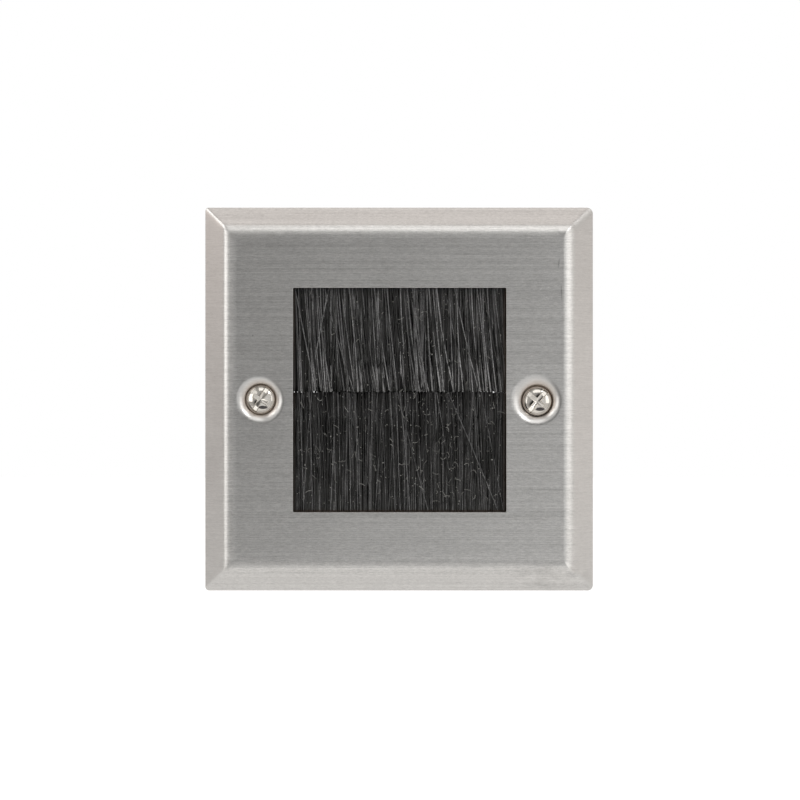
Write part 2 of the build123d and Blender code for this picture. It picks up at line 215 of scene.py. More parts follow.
class StageSizes(bpy.types.PropertyGroup):
    """The camera, the lamps and the floor."""

    distance: length("Distance", "From the wall plane to the camera", 500.0, 2000.0)
    lens: length("Lens", "Focal length of the camera", 102.5, 300.0)
    camera_x: FloatProperty(name="Camera x", description="Camera's place across, in millimetres",
                            default=0.198)
    camera_z: FloatProperty(name="Camera z", description="Camera's height, in millimetres", default=-0.209)
    floor: length("Floor", "How far the floor is below the middle of the plate", 120.0, 1000.0)
    ambient: FloatProperty(name="Ambient", description="Plain light from all round", default=0.6, min=0.0)


# Mesh helpers


def settings(name):
    """One of this part's groups of settings."""
    return getattr(bpy.context.scene, "brush_plate_" + name)


def grid_faces(rows, columns, wrap=False):
    """The quads of a grid of points stored row by row. With wrap, the last column joins the first."""
    row = np.arange(rows - 1)[:, None]
    column = np.arange(columns if wrap else columns - 1)[None, :]
    after = (column + 1) % columns
    a, b = row * columns + column, row * columns + after
    return np.stack([a, b, b + columns, a + columns], -1).reshape(-1, 4)


def surface(points, wrap=False):
    """A (rows, columns, 3) array of points in millimetres, with the quads between them."""
    rows, columns = points.shape[:2]
    return points.reshape(-1, 3), [grid_faces(rows, columns, wrap)]


def make_piece(name, surfaces, material, replaced=(), sharp=None, merge=True, attribute=None):
    """Joins surfaces in millimetres into one mesh that rides on the plate.

    Points closer than a micron are merged and the faces turned outwards, unless merge is off.
    """
    counts = np.cumsum([0] + [len(points) for points, _ in surfaces])
    points = np.concatenate([points for points, _ in surfaces]).astype(np.float64) * MM
    faces = [group + start for (_, groups), start in zip(surfaces, counts) for group in groups]
    sizes = np.concatenate([np.full(len(group), group.shape[1]) for group in faces])
    loops = np.concatenate([group.ravel() for group in faces])
    mesh = bpy.data.meshes.new(name)
    mesh.vertices.add(len(points))
    mesh.vertices.foreach_set("co", points.ravel())
    mesh.loops.add(len(loops))
    mesh.loops.foreach_set("vertex_index", loops.astype(np.int32))
    mesh.polygons.add(len(sizes))
    mesh.polygons.foreach_set("loop_start", np.concatenate([[0], np.cumsum(sizes)[:-1]]).astype(np.int32))
    mesh.update(calc_edges=True)
    if attribute is not None:
        layer = mesh.attributes.new(attribute[0], "FLOAT", "POINT")
        layer.data.foreach_set("value", attribute[1].astype(np.float32))
    if merge:
        work = bmesh.new()
        work.from_mesh(mesh)
        bmesh.ops.remove_doubles(work, verts=work.verts, dist=1e-6)
        bmesh.ops.dissolve_degenerate(work, edges=work.edges, dist=1e-7)
        bmesh.ops.recalc_face_normals(work, faces=work.faces)
        work.to_mesh(mesh)
        work.free()
    mesh.validate()
    mesh.shade_smooth()
    if sharp is not None:
        mesh.set_sharp_from_angle(angle=math.radians(sharp))
    mesh.materials.append(material)
    piece = bpy.data.objects.new(name, mesh)
    bpy.context.scene.collection.objects.link(piece)
    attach(piece, "root")
    if replaced:
        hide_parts(*replaced)
    return piece


def unit(vector):
    """A vector of length one."""
    return vector / np.linalg.norm(vector)


def rounded(points, radii, steps=8, support=0.05):
    """A polyline whose inner corners are arcs tangent to both runs, each arc an even sweep of steps.

    A further point on each side of an arc, support away, keeps the shading of the flat runs flat.
    """
    points = [np.array(point, float) for point in points]
    line = [points[0]]
    for before, corner, after, radius in zip(points, points[1:], points[2:], radii):
        back, ahead = unit(before - corner), unit(after - corner)
        half = math.acos(np.clip(back @ ahead, -1, 1)) / 2
        centre = corner + unit(back + ahead) * radius / math.sin(half)
        start, end = corner + back * radius / math.tan(half), corner + ahead * radius / math.tan(half)
        sweep = math.pi - 2 * half
        line.append(start + back * support)
        for k in np.linspace(0, 1, steps + 1):
            line.append(centre + (math.sin((1 - k) * sweep) * (start - centre)
                                  + math.sin(k * sweep) * (end - centre)) / math.sin(sweep))
        line.append(end + ahead * support)
    line.append(points[-1])
    return np.array(line)


def perimeter(across, up, arc_steps):
    """Once round a rectangle, anticlockwise from the bottom of its right side.

    Returns fractions (fx, fz) of the half sizes, the turn angle, and each side's weight. across and up are
    the fractions from -1 to 1 at which the long sides are divided; a corner is a quarter turn in arc_steps.
    """
    fx, fz, turn = [], [], []
    corners = [(1, 1), (-1, 1), (-1, -1), (1, -1)]
    runs = [(np.ones_like(up), up), (across[::-1], np.ones_like(across)), (-np.ones_like(up), up[::-1]),
            (across, -np.ones_like(across))]
    for n, ((run_x, run_z), (corner_x, corner_z)) in enumerate(zip(runs, corners)):
        fx += [run_x, np.full(arc_steps - 1, corner_x)]
        fz += [run_z, np.full(arc_steps - 1, corner_z)]
        turn += [np.full(len(run_x), n * math.pi / 2),
                 (n + np.arange(1, arc_steps) / arc_steps) * math.pi / 2]
    fx, fz, turn = (np.concatenate(values).astype(float) for values in (fx, fz, turn))
    quarter = turn / (math.pi / 2)
    weights = np.stack([np.clip(1 - np.abs((quarter - n + 2) % 4 - 2), 0, 1) for n in range(4)])
    weights = weights * weights * (3 - 2 * weights)
    return fx, fz, turn, weights


def carried(profiles, radii, half_width, half_height, path):
    """A profile carried round a rounded rectangle.

    profiles is (4, n, 2): for each side, the inset from the rectangle and the y of each point. radii is
    (4, n): the corner rounding at each point for each corner. The place is the fraction of the half size left
    after inset and rounding, plus the rounding turned by the path's angle.
    """
    fx, fz, turn, weights = path
    inset = profiles[:, :, 0].T @ weights
    depth = profiles[:, :, 1].T @ weights
    corner = (np.floor(turn / (math.pi / 2)).astype(int)) % 4
    nearest = np.where(fx >= 0, np.where(fz >= 0, 0, 3), np.where(fz >= 0, 1, 2))
    on_run = np.isclose(turn % (math.pi / 2), 0)
    radius = radii[np.where(on_run, nearest, corner)].T
    x = fx * (half_width - inset - radius) + radius * np.cos(turn)
    z = fz * (half_height - inset - radius) + radius * np.sin(turn)
    return np.stack([x, depth, z], -1)


def easy_bend(turn, reach, power, steps):
    """A sheet that turns by an angle over a length, as the distances gone across and down at even steps.

    The angle turned at a share of the length is the whole turn times that share to the power, and the
    distances are the running sums of its cosine and sine.
    """
    fine = 8
    share_gone = (np.arange(steps * fine) + 0.5) / (steps * fine)
    angle = turn * share_gone**power
    gone = np.stack([np.cos(angle), np.sin(angle)], -1) * reach / (steps * fine)
    return np.concatenate([np.zeros((1, 2)), np.cumsum(gone, 0)])[::fine]


def ring(radius_and_y, centre, segments, phase=0.0):
    """A profile of (radius, y) turned about a line along Y through centre (x, z)."""
    angle = phase + np.arange(segments) * TAU / segments
    radius, y = radius_and_y[:, :1], radius_and_y[:, 1:]
    x, z = centre[0] + radius * np.cos(angle), centre[1] + radius * np.sin(angle)
    return np.stack([x, y + 0 * angle, z], -1)


# Material helpers


class Nodes:
    """Adds nodes to a tree and links them."""

    def __init__(self, tree):
        self.tree = tree

    def add(self, kind, inputs=None, **settings_given):
        """A node of this kind, with its inputs fed and its settings set."""
        node = self.tree.nodes.new(kind)
        for name, value in settings_given.items():
            setattr(node, name, value)
        self.connect(node, inputs or {})
        return node

    def connect(self, node, inputs):
        """Feeds a node. inputs maps a socket's name or number to a value or to another node's output."""
        for key, value in inputs.items():
            self.feed(node.inputs[key], value)

    def feed(self, socket, value):
        """Links an output to the socket, or sets its value."""
        if isinstance(value, bpy.types.NodeSocket):
            self.tree.links.new(value, socket)
        else:
            socket.default_value = value

    def math(self, operation, a, b=0.0):
        """A maths node's value."""
        return self.add("ShaderNodeMath", {0: a, 1: b}, operation=operation).outputs[0]

    def plus(self, total, *values):
        """The sum of the values."""
        for value in values:
            total = self.math("ADD", total, value)
        return total

    def minus(self, a, b):
        """The difference of two values."""
        return self.math("SUBTRACT", a, b)

    def times(self, product, *values):
        """The product of the values."""
        for value in values:
            product = self.math("MULTIPLY", product, value)
        return product

    def over(self, a, b):
        """The quotient of two values."""
        return self.math("DIVIDE", a, b)

    def hypot(self, a, b):
        """The length of a flat vector, from its two parts."""
        return self.math("SQRT", self.plus(self.times(a, a), self.times(b, b)))

    def vector_math(self, operation, a, b):
        """A vector maths node's vector."""
        return self.add("ShaderNodeVectorMath", {0: a, 1: b}, operation=operation).outputs[0]

    def parts(self, vector):
        """A vector's x, y and z."""
        return self.add("ShaderNodeSeparateXYZ", {0: vector}).outputs

    def noise(self, vector, scale, detail=2.0, rough=0.5, stretch=(1.0, 1.0, 1.0)):
        """Noise from 0 to 1, in features of 1/scale metres divided by stretch."""
        place = self.vector_math("MULTIPLY", vector, stretch)
        return self.add("ShaderNodeTexNoise", {"Vector": place, "Scale": scale, "Detail": detail,
                                               "Roughness": rough}).outputs["Fac"]

    def spread(self, value, low, high, to_low=0.0, to_high=1.0):
        """A value moved from one range to another, clamped."""
        return self.add("ShaderNodeMapRange", {"Value": value, "From Min": low, "From Max": high,
                                               "To Min": to_low, "To Max": to_high}).outputs[0]

    def mix(self, factor, a, b, blend="MIX"):
        """Two colours mixed."""
        node = self.add("ShaderNodeMix", {0: factor, 6: a, 7: b}, data_type="RGBA", blend_type=blend)
        return node.outputs[2]

    def tint(self, colour, tone):
        """A colour made darker or lighter by a tone, where 1 leaves it as it is."""
        toned = self.add("ShaderNodeCombineColor", {0: tone, 1: tone, 2: tone}).outputs[0]
        return self.mix(1.0, colour, toned, "MULTIPLY")

    def use(self, tree, **inputs):
        """The outputs of a node group placed in this tree."""
        return self.add("ShaderNodeGroup", inputs, node_tree=tree).outputs

    def bump(self, shader, height, strength, distance):
        """Feeds a height to the shader's normal, where a height of one is this distance in metres."""
        node = self.add("ShaderNodeBump", {"Height": height, "Strength": strength, "Distance": distance})
        self.feed(shader.inputs["Normal"], node.outputs[0])


def rgba(values, scale=1.0):
    """A colour with its alpha."""
    return (values[0] * scale, values[1] * scale, values[2] * scale, 1.0)


def grey(value):
    """A grey with its alpha."""
    return (value, value, value, 1.0)


WHITE = grey(1.0)


def group(name, inputs, outputs, build):
    """A shader node group. inputs maps names to defaults, None for a vector, and outputs names its values."""
    if name in bpy.data.node_groups:
        return bpy.data.node_groups[name]
    tree = bpy.data.node_groups.new(name, "ShaderNodeTree")
    for label, default in inputs.items():
        kind = "NodeSocketVector" if default is None else "NodeSocketFloat"
        socket = tree.interface.new_socket(label, in_out="INPUT", socket_type=kind)
        if default is not None:
            socket.default_value = default
    for label in outputs:
        tree.interface.new_socket(label, in_out="OUTPUT", socket_type="NodeSocketFloat")
    n = Nodes(tree)
    entry = tree.nodes.new("NodeGroupInput")
    leave = tree.nodes.new("NodeGroupOutput")
    n.connect(leave, build(n, entry.outputs))
    return tree


def grain_group():
    """Brushing along X: lines right across the plate, short hairs and pits between them, and dark scores."""

    def build(n, entry):
        def streaks(across, along, detail):
            """Noise stretched along X, in features of 1/across by 1/along metres."""
            return n.noise(entry["Vector"], 1.0, detail, 0.6, (across, 300.0, along))

        long_lines = streaks(14.0, 5200.0, 1.0)
        hairs = streaks(1150.0, 5600.0, 2.0)
        bands = streaks(6.0, 700.0, 2.0)
        pits = n.noise(entry["Vector"], 3000.0, 1.0, 0.5, (1.0, 0.2, 1.4))
        scores = n.spread(streaks(45.0, 2600.0, 1.0), 0.66, 0.8)
        mixed = n.plus(n.times(long_lines, 0.28), n.times(hairs, 0.42), n.times(bands, 0.12),
                       n.times(pits, 0.18))
        return {"Grain": mixed, "Scores": scores, "Height": n.minus(mixed, n.times(scores, 0.25))}

    return group("Brushed grain", {"Vector": None}, ("Grain", "Scores", "Height"), build)


def mottle_group():
    """Soft cloudy handling marks over two sizes of noise."""

    def build(n, entry):
        broad = n.noise(entry["Vector"], entry["Scale"], 2.0, 0.5)
        small = n.noise(entry["Vector"], n.times(entry["Scale"], 6.0), 3.0, 0.6)
        return {"Mask": n.spread(n.plus(n.times(broad, 0.65), n.times(small, 0.35)), 0.3, 0.7)}

    return group("Mottle", {"Vector": None, "Scale": 40.0}, ("Mask",), build)


def mark_group():
    """A short soft mark at a place on the face: one inside a turned oval, fading to nothing at its edge."""

    def build(n, entry):
        away = n.vector_math("SUBTRACT", entry["Vector"], entry["Place"])
        turned = n.add("ShaderNodeVectorRotate",
                       {"Vector": away, "Angle": entry["Turn"], "Axis": (0.0, 1.0, 0.0)},
                       rotation_type="AXIS_ANGLE").outputs[0]
        x, _, z = n.parts(turned)
        out = n.hypot(n.over(x, entry["Length"]), n.over(z, entry["Width"]))
        return {"Mask": n.spread(out, 1.0, 0.3)}

    inputs = {"Vector": None, "Place": None, "Length": MM, "Width": 0.3 * MM, "Turn": 0.0}
    return group("Face mark", inputs, ("Mask",), build)


def new_material(name):
    """An empty node material with its Principled shader and the object's own coordinates."""
    material = bpy.data.materials.new(name)
    material.use_nodes = True
    material.node_tree.nodes.clear()
    n = Nodes(material.node_tree)
    shader = n.add("ShaderNodeBsdfPrincipled")
    n.add("ShaderNodeOutputMaterial", {"Surface": shader.outputs[0]}).is_active_output = True
    place = n.add("ShaderNodeTexCoord").outputs["Object"]
    return material, n, shader, place


# Marks on the face: x, z, half length and half width in millimetres, turn in radians, and strength
DARK_MARKS = (
    (-31.8, 13.8, 0.22, 0.2, 0.0, 1.0), (34.7, 29.4, 1.4, 0.24, 1.45, 0.6), (35.3, 23.2, 2.2, 0.2, 1.6, 0.6),
    (27.7, 30.6, 0.3, 0.12, 0.6, 0.6), (-6.0, -30.5, 0.18, 0.15, 0.0, 0.6),
)
SCUFFS = (
    (30.8, 23.9, 0.32, 0.14, 0.2, 1.0), (31.9, 22.1, 0.8, 0.07, -0.45, 1.0),
    (32.5, 24.3, 0.3, 0.08, 0.4, 1.0),
)
STAIN = (32.5, -38.5, 12.0, 4.2, 0.06, 1.0)


def strongest(n, place, marks):
    """The strongest of some marks at each place of the face."""
    found = 0.0
    for x, z, half_length, half_width, turn, strength in marks:
        mask = n.use(mark_group(), Vector=place, Place=(x * MM, FRONT * MM, z * MM), Length=half_length * MM,
                     Width=half_width * MM, Turn=turn)["Mask"]
        found = n.math("MAXIMUM", found, n.times(mask, strength))
    return found


def brushed_steel():
    """Stainless steel brushed along X, with dark marks, pale scuffs and a cloudy stain at the lower right.

    The grain is calmer on the slopes, most of all on the side ones, and in the dishes. The surface is coarser
    at the inner side of the bends, where the sheet was stretched, and least so on the right. The dishes are
    painted with shade, darker and browner towards the screws' heads and browner still in the well round each
    head.
    """
    look = settings("finishes")
    material, n, shader, place = new_material("brushed_steel")
    x, y, z = n.parts(place)
    grain = n.use(grain_group(), Vector=place)
    mottle = n.use(mottle_group(), Vector=place, Scale=55.0)["Mask"]

    far_x = n.math("ABSOLUTE", x)
    inset_x = n.minus(PLATE_HIGH[0] * MM, far_x)
    inset_z = n.minus(PLATE_HIGH[2] * MM, n.math("ABSOLUTE", z))
    past_mitre = n.spread(n.minus(inset_z, inset_x), -0.1 * MM, 0.1 * MM)
    on_side = n.times(n.spread(inset_x, 5.3 * MM, 4.0 * MM), past_mitre)
    reach = n.hypot(n.minus(far_x, settings("dish").pitch / 2 * MM), z)
    plain = n.math("MAXIMUM", on_side, n.spread(reach, 5.5 * MM, 4.9 * MM))
    amount = n.times(n.spread(plain, 0.0, 1.0, 1.0, 0.4), n.spread(inset_z, 5.2 * MM, 3.5 * MM, 1.0, 0.7))

    cloud = n.noise(place, 420.0, 3.0, 0.6, (0.5, 1.0, 1.0))
    tone = n.plus(
        1.0,
        n.times(n.minus(grain["Grain"], 0.5), amount, 1.6),
        n.times(grain["Scores"], amount, -0.16),
        n.times(n.minus(mottle, 0.5), 0.035),
        n.times(strongest(n, place, DARK_MARKS), -0.5),
        n.times(strongest(n, place, [STAIN]), n.spread(cloud, 0.35, 0.7, 0.05, -0.2)),
        n.times(strongest(n, place, SCUFFS), 0.35),
    )
    base = n.tint(rgba(look.steel), tone)
    # Painted shade: the dishes darken and turn browner towards the screws' heads, browner still in the well
    # round each head
    base = n.mix(n.spread(reach, 4.4 * MM, 3.4 * MM, 0.0, 0.6), base, rgba(look.dish))
    painted_well_shade = n.times(n.spread(reach, 3.6 * MM, 3.2 * MM),
                      n.spread(y, (FRONT + 0.8) * MM, (FRONT + 1.3) * MM))
    base = n.mix(painted_well_shade, base, rgba(look.well))

    inset = n.math("MINIMUM", inset_x, inset_z)
    in_bend = n.times(n.spread(inset, 4.8 * MM, 5.5 * MM), n.spread(inset, 7.4 * MM, 6.2 * MM))
    coarser = n.times(n.spread(z, -35.0 * MM, -32.0 * MM, 0.12, 0.085),
                      n.spread(x, 32.0 * MM, 35.5 * MM, 1.0, 0.2))
    rough = n.plus(look.steel_gloss - 0.03, n.times(grain["Grain"], 0.08), n.times(mottle, 0.03),
                   n.times(in_bend, coarser))
    n.connect(shader, {"Base Color": base, "Roughness": rough, "Metallic": 1.0})
    wave = n.noise(place, 60.0, 1.0, 0.5)
    n.bump(shader, n.plus(n.times(grain["Height"], amount, 0.012), n.times(wave, 0.02)), 1.0, MM)
    return material


def nickel_plate():
    """Bright nickel with a cloudy film, a browner rim and a painted dark reflection, a near-black patch low
    on each head.
    """
    look, sizes = settings("finishes"), settings("screw")
    material, n, shader, place = new_material("nickel_plate")
    film = n.use(mottle_group(), Vector=place, Scale=420.0)["Mask"]
    x, _, z = n.parts(place)
    half = settings("dish").pitch / 2 * MM
    across = n.minus(x, n.spread(x, -MM, MM, -half, half))
    up = n.plus(z, n.spread(x, -MM, MM, sizes.drop_left * MM, sizes.drop_right * MM))
    rim = n.spread(n.hypot(across, up), (sizes.head - 0.32) * MM, (sizes.head - 0.2) * MM)
    base = n.mix(rim, n.tint(rgba(look.nickel), n.spread(film, 0.0, 1.0, 0.8, 1.1)), rgba(look.rim))
    # Painted reflection: a near-black patch low on each head, where the dome would mirror dark surroundings
    patch_x = n.over(n.minus(across, 0.55 * MM), 1.05 * MM)
    patch_z = n.plus(n.over(n.plus(up, 1.72 * MM), 0.36 * MM), n.spread(film, 0.0, 1.0, -0.5, 0.5))
    painted_dark_reflection = n.spread(n.hypot(patch_x, patch_z), 1.15, 0.8)
    base = n.mix(n.times(painted_dark_reflection, n.spread(film, 0.1, 0.4, 0.75, 1.0)), base, rgba(look.painted_dark_reflection))
    n.connect(shader, {"Base Color": base, "Roughness": n.spread(film, 0.0, 1.0, 0.04, 0.1), "Metallic": 1.0})
    n.bump(shader, n.noise(place, 1500.0, 2.0, 0.5), 0.5, 0.004 * MM)
    return material


def filament_nylon(name, lift, tip, foot, right):
    """Black nylon whose tone changes from filament to filament, dusty in patches and cooler where bright.

    lift is the tone of all filaments, and giving the upper brush about twice the lower's is painted light and
    shade on one nylon. tip is how much the bright ones brighten or darken towards their tips, painted light
    along their length, foot how much the dark ones lighten towards the lower channel, and right how much all
    change towards the right.
    A brown tint lies on the filaments along the opening's sides and bottom edge.
    """
    look, plate = settings("finishes"), settings("plate")
    half_width, half_height = plate.opening_width / 2, plate.opening_height / 2
    material, n, shader, place = new_material(name)
    x, _, z = n.parts(place)
    own = n.add("ShaderNodeAttribute", attribute_name="filament", attribute_type="GEOMETRY").outputs["Fac"]
    film = n.noise(place, 900.0, 3.0, 0.6, (1.0, 1.0, 0.35))
    specks = n.noise(place, 3400.0, 2.0, 0.6, (1.0, 1.0, 0.8))

    def downwards(at_seam, at_channel):
        """A value that changes from the seam to the lower channel."""
        return n.spread(z, -4.0 * MM, -24.0 * MM, at_seam, at_channel)

    # Painted light: the bright filaments' tone changes towards their tips by tip
    tips = n.spread(n.math("ABSOLUTE", z), 10.0 * MM, 2.0 * MM, 1.0, tip)
    bright = n.times(own, tips, downwards(9.0, 11.5))
    tone = n.times(n.plus(downwards(0.15, 0.22 * foot), bright), n.spread(film, 0.3, 0.72, 0.5, 1.6),
                   n.spread(specks, 0.3, 0.72, 0.5, 1.5), n.spread(x, 4.0 * MM, 20.0 * MM, 1.0, right))
    base = n.tint(rgba(look.filament, lift), tone)
    base = n.mix(n.spread(bright, 0.5, 3.0), base, n.mix(1.0, base, (0.99, 0.97, 1.05, 1.0), "MULTIPLY"))
    # A brown tint on the filaments along the opening's sides and bottom edge
    edge_x = n.spread(n.math("ABSOLUTE", x), (half_width - 0.7) * MM, half_width * MM)
    edge_z = n.spread(z, -(half_height - 0.4) * MM, -half_height * MM)
    base = n.mix(n.math("MAXIMUM", edge_x, edge_z), base, rgba(look.edge_brown))
    n.connect(shader, {"Base Color": base, "Roughness": n.plus(0.2, n.times(film, 0.2)),
                       "Specular IOR Level": 0.45})
    return material


def dusty(name, base):
    """Matt fibres and specks of dust."""
    material, n, shader, place = new_material(name)
    tone = n.spread(n.noise(place, 800.0, 1.0, 0.5), 0.3, 0.7, 0.5, 1.1)
    n.connect(shader, {"Base Color": n.tint(rgba(base), tone), "Roughness": 0.9})
    return material


def moulded(name, base, roughness, grain=0.006, clear=0.0):
    """A moulding with a fine spark-eroded grain, its depth in millimetres, and a slightly uneven gloss."""
    material, n, shader, place = new_material(name)
    film = n.use(mottle_group(), Vector=place, Scale=120.0)["Mask"]
    n.connect(shader, {"Base Color": n.tint(rgba(base), n.spread(film, 0.0, 1.0, 0.85, 1.15)),
                       "Roughness": n.spread(film, 0.0, 1.0, roughness - 0.05, roughness + 0.06),
                       "Subsurface Weight": clear})
    n.bump(shader, n.noise(place, 3200.0, 3.0, 0.7), 1.0, grain * MM)
    return material


def metal(name, base, roughness, scale, spangle):
    """Plain or zinc-coated steel: crystals or rolling marks as patches of tone and gloss."""
    material, n, shader, place = new_material(name)
    cells = n.add("ShaderNodeTexVoronoi", {"Vector": place, "Scale": scale}, feature="F1").outputs["Color"]
    crystal = n.add("ShaderNodeSeparateColor", {0: cells}).outputs[0]
    film = n.use(mottle_group(), Vector=place, Scale=scale)["Mask"]
    both = n.plus(n.times(crystal, spangle), n.times(film, 1.0 - spangle))
    n.connect(shader, {"Base Color": n.tint(rgba(base), n.spread(both, 0.0, 1.0, 0.8, 1.12)),
                       "Roughness": n.spread(both, 0.0, 1.0, roughness - 0.08, roughness + 0.1),
                       "Metallic": 1.0})
    n.bump(shader, n.noise(place, scale * 8.0, 2.0, 0.5), 0.6, 0.01 * MM)
    return material


# Face plate


# Points along each side of the block round a dish
SIDE_POINTS = 25


def plate_lines():
    """Where the flat of the face is divided: its blocks' x and z runs, and the sizes round the dishes."""
    plate = settings("plate")
    beside_opening, above_opening, above_dish = 0.65, 0.8, 0.4
    flat_x, flat_z = PLATE_HIGH[0] - plate.flat, PLATE_HIGH[2] - plate.flat
    opening_x = plate.opening_width / 2 + beside_opening
    opening_z = plate.opening_height / 2 + above_opening
    block_z = (flat_x - opening_x) / 2 + above_dish
    dish_run = np.linspace(opening_x, flat_x, SIDE_POINTS)
    x_runs = [-dish_run[::-1], np.linspace(-opening_x, opening_x, 49), dish_run]
    z_runs = [np.linspace(-flat_z, -opening_z, 12), np.linspace(-opening_z, -block_z, 20),
              np.linspace(-block_z, block_z, SIDE_POINTS), np.linspace(block_z, opening_z, 20),
              np.linspace(opening_z, flat_z, 12)]
    return x_runs, z_runs, (flat_x, flat_z), (opening_x, opening_z), block_z


def joined(runs):
    """Runs that share their ends, as one."""
    return np.concatenate([runs[0]] + [run[1:] for run in runs[1:]])


def side_profiles():
    """For each side, from the flat's back round the rim to its front, as inset and y, with corner radii."""
    plate = settings("plate")
    back = FRONT + plate.sheet
    run = -FRONT - plate.rim
    steps, near = 14, 0.03
    # Inside the bend, at the wall's inner and outer edges, and where the rim meets the slope
    edges = [0.5, 0.1, 0.12, plate.edge]
    profiles = []
    for side in ("right", "top", "left", "bottom"):
        bevel, reach, power = (getattr(plate, f"{kind}_{side}") for kind in ("bevel", "bend", "ease"))
        wall = plate.sheet * math.hypot(bevel, run) / run
        foot = wall - bevel * plate.rim / run
        inner = foot + bevel * -back / run
        gone = easy_bend(math.atan2(run, bevel), reach, power, steps)
        start = gone[-1, 0] + bevel * (1 - gone[-1, 1] / run)
        front = np.stack([start - gone[:, 0], FRONT + gone[:, 1]], -1)[::-1]
        slope = front[0] + near * unit(np.array([-bevel, run]))
        rim = rounded([(plate.flat, back), (inner, back), (foot, 0.0), (0.0, 0.0), (0.0, -plate.rim), slope],
                      edges, steps=10, support=near)
        profiles.append(np.concatenate([rim, front, [(start + near, FRONT), (plate.flat, FRONT)]]))
    profiles = np.array(profiles)
    bend = len(rim) + steps - np.arange(len(profiles[0]))
    taper = np.clip(bend / steps, 0.0, 1.0)
    corners = np.array([plate.corner_top_right, plate.corner_top_left, plate.corner_bottom_left,
                        plate.corner_bottom_right])
    radii = plate.corner_face + (corners[:, None] - plate.corner_face) * taper
    inner_wall = (np.arange(len(taper)) < len(rim)) & (profiles[0, :, 0] > plate.edge)
    radii = np.where(inner_wall & (profiles[0, :, 1] > -plate.rim), plate.corner_inner, radii)
    radii[:, [0, -1]] = 0.0
    return profiles, radii


def face_plate_surfaces():
    """The whole pressed sheet as one closed skin."""
    plate, dishes, screws = settings("plate"), settings("dish"), settings("screw")
    x_runs, z_runs, (flat_x, flat_z), (opening_x, opening_z), block_z = plate_lines()
    back = FRONT + plate.sheet
    plate_arc, opening_arc = 10, 6

    profiles, radii = side_profiles()
    path = perimeter(joined(x_runs) / flat_x, joined(z_runs) / flat_z, plate_arc)
    surfaces = [surface(carried(profiles, radii, PLATE_HIGH[0], PLATE_HIGH[2], path), wrap=True)]

    for y in (FRONT, back):
        for column, xs in enumerate(x_runs):
            for row, zs in enumerate(z_runs):
                if row in (0, 4) or (column != 1 and row != 2):
                    grid_x, grid_z = np.meshgrid(xs, zs)
                    surfaces.append(surface(np.stack([grid_x, np.full_like(grid_x, y), grid_z], -1)))

    margin, back_edge = 0.8, 0.05
    edge = rounded([(-margin, FRONT), (0.0, FRONT), (0.0, back), (-margin, back)],
                   [plate.opening_edge, back_edge], steps=5, support=0.03)
    edge = np.repeat(edge[None], 4, 0)
    path = perimeter(x_runs[1] / opening_x, joined(z_runs[1:4]) / opening_z, opening_arc)
    opening = carried(edge, np.full(edge.shape[:2], plate.opening_corner), plate.opening_width / 2,
                      plate.opening_height / 2, path)
    opening += np.array([plate.opening_shift, 0.0, -plate.opening_drop])
    outer = np.isclose(edge[0, :, 0], -margin)
    opening[outer, :, 0], opening[outer, :, 2] = path[0] * opening_x, path[1] * opening_z
    surfaces.append(surface(opening, wrap=True))

    segments = 4 * (SIDE_POINTS - 1)
    side = np.linspace(-1, 1, SIDE_POINTS)
    spin_x, spin_z, _, _ = perimeter(side, side, 1)
    keep = np.concatenate([[True], (np.diff(spin_x) != 0) | (np.diff(spin_z) != 0)])
    spin_x, spin_z = spin_x[keep][:segments], spin_z[keep][:segments]
    for way, radius, shift, drop in ((-1, dishes.radius_left, dishes.shift_left, screws.drop_left),
                                     (1, dishes.radius_right, dishes.shift_right, screws.drop_right)):
        section = dish_section(radius)
        inward = dishes.follow * np.clip((radius - section[:, :1]) / (radius - dishes.well), 0.0, 1.0)
        centre = (way * dishes.pitch / 2 - shift * (1 - inward), -dishes.drop - (drop - dishes.drop) * inward)
        turned = ring(section, centre, segments, -math.pi / 4)
        x = way * (opening_x + flat_x) / 2 + spin_x * (flat_x - opening_x) / 2
        for row in (0, -1):
            block = np.stack([x, np.full(segments, section[row, 1]), spin_z * block_z], -1)
            surfaces.append(surface(np.stack([block, turned[row]]), wrap=True))
        surfaces.append(surface(turned, wrap=True))
    return surfaces


def dish_section(radius):
    """A dish's section from the face in to the screw hole and back along the other side, as radius and y.

    The front turns evenly from the face to the wall round the head, then crosses a flat ledge under the
    head's edge and follows the head's cone to the hole. The back is the front moved through the sheet along
    its own normal.
    """
    plate, dishes = settings("plate"), settings("dish")
    turn, steps = dishes.steepness, 14
    reach = (radius - dishes.well) * turn / math.sin(turn)
    gone = easy_bend(turn, reach, 1.0, steps)
    lip = np.stack([radius - gone[:, 0], FRONT + gone[:, 1]], -1)
    angle = turn * np.linspace(0, 1, steps + 1)
    behind = lip + plate.sheet * np.stack([np.sin(angle), np.cos(angle)], -1)
    wall_draft, wall_height, hole_length = 0.04, 0.12, 0.35
    seat_radius, seat_y = lip[-1] + np.array([-wall_draft, wall_height])
    hole_y = seat_y + dishes.ledge - dishes.hole
    hole_end = hole_y + hole_length
    # At the ledge's outer and inner ends, the hole's two ends, and the outer edge behind it
    edges = [0.04, 0.05, 0.1, 0.08, 0.15]
    inside = rounded(
        [lip[-1], (seat_radius, seat_y), (dishes.ledge, seat_y), (dishes.hole, hole_y),
         (dishes.hole, hole_end), (dishes.hole + plate.sheet, hole_end), behind[-1]],
        edges, steps=4, support=0.02)
    flat_ring = 0.06
    edge = radius + flat_ring
    return np.concatenate([[(edge, FRONT)], lip, inside[1:-1], behind[::-1], [(edge, FRONT + plate.sheet)]])


# Fixing screws


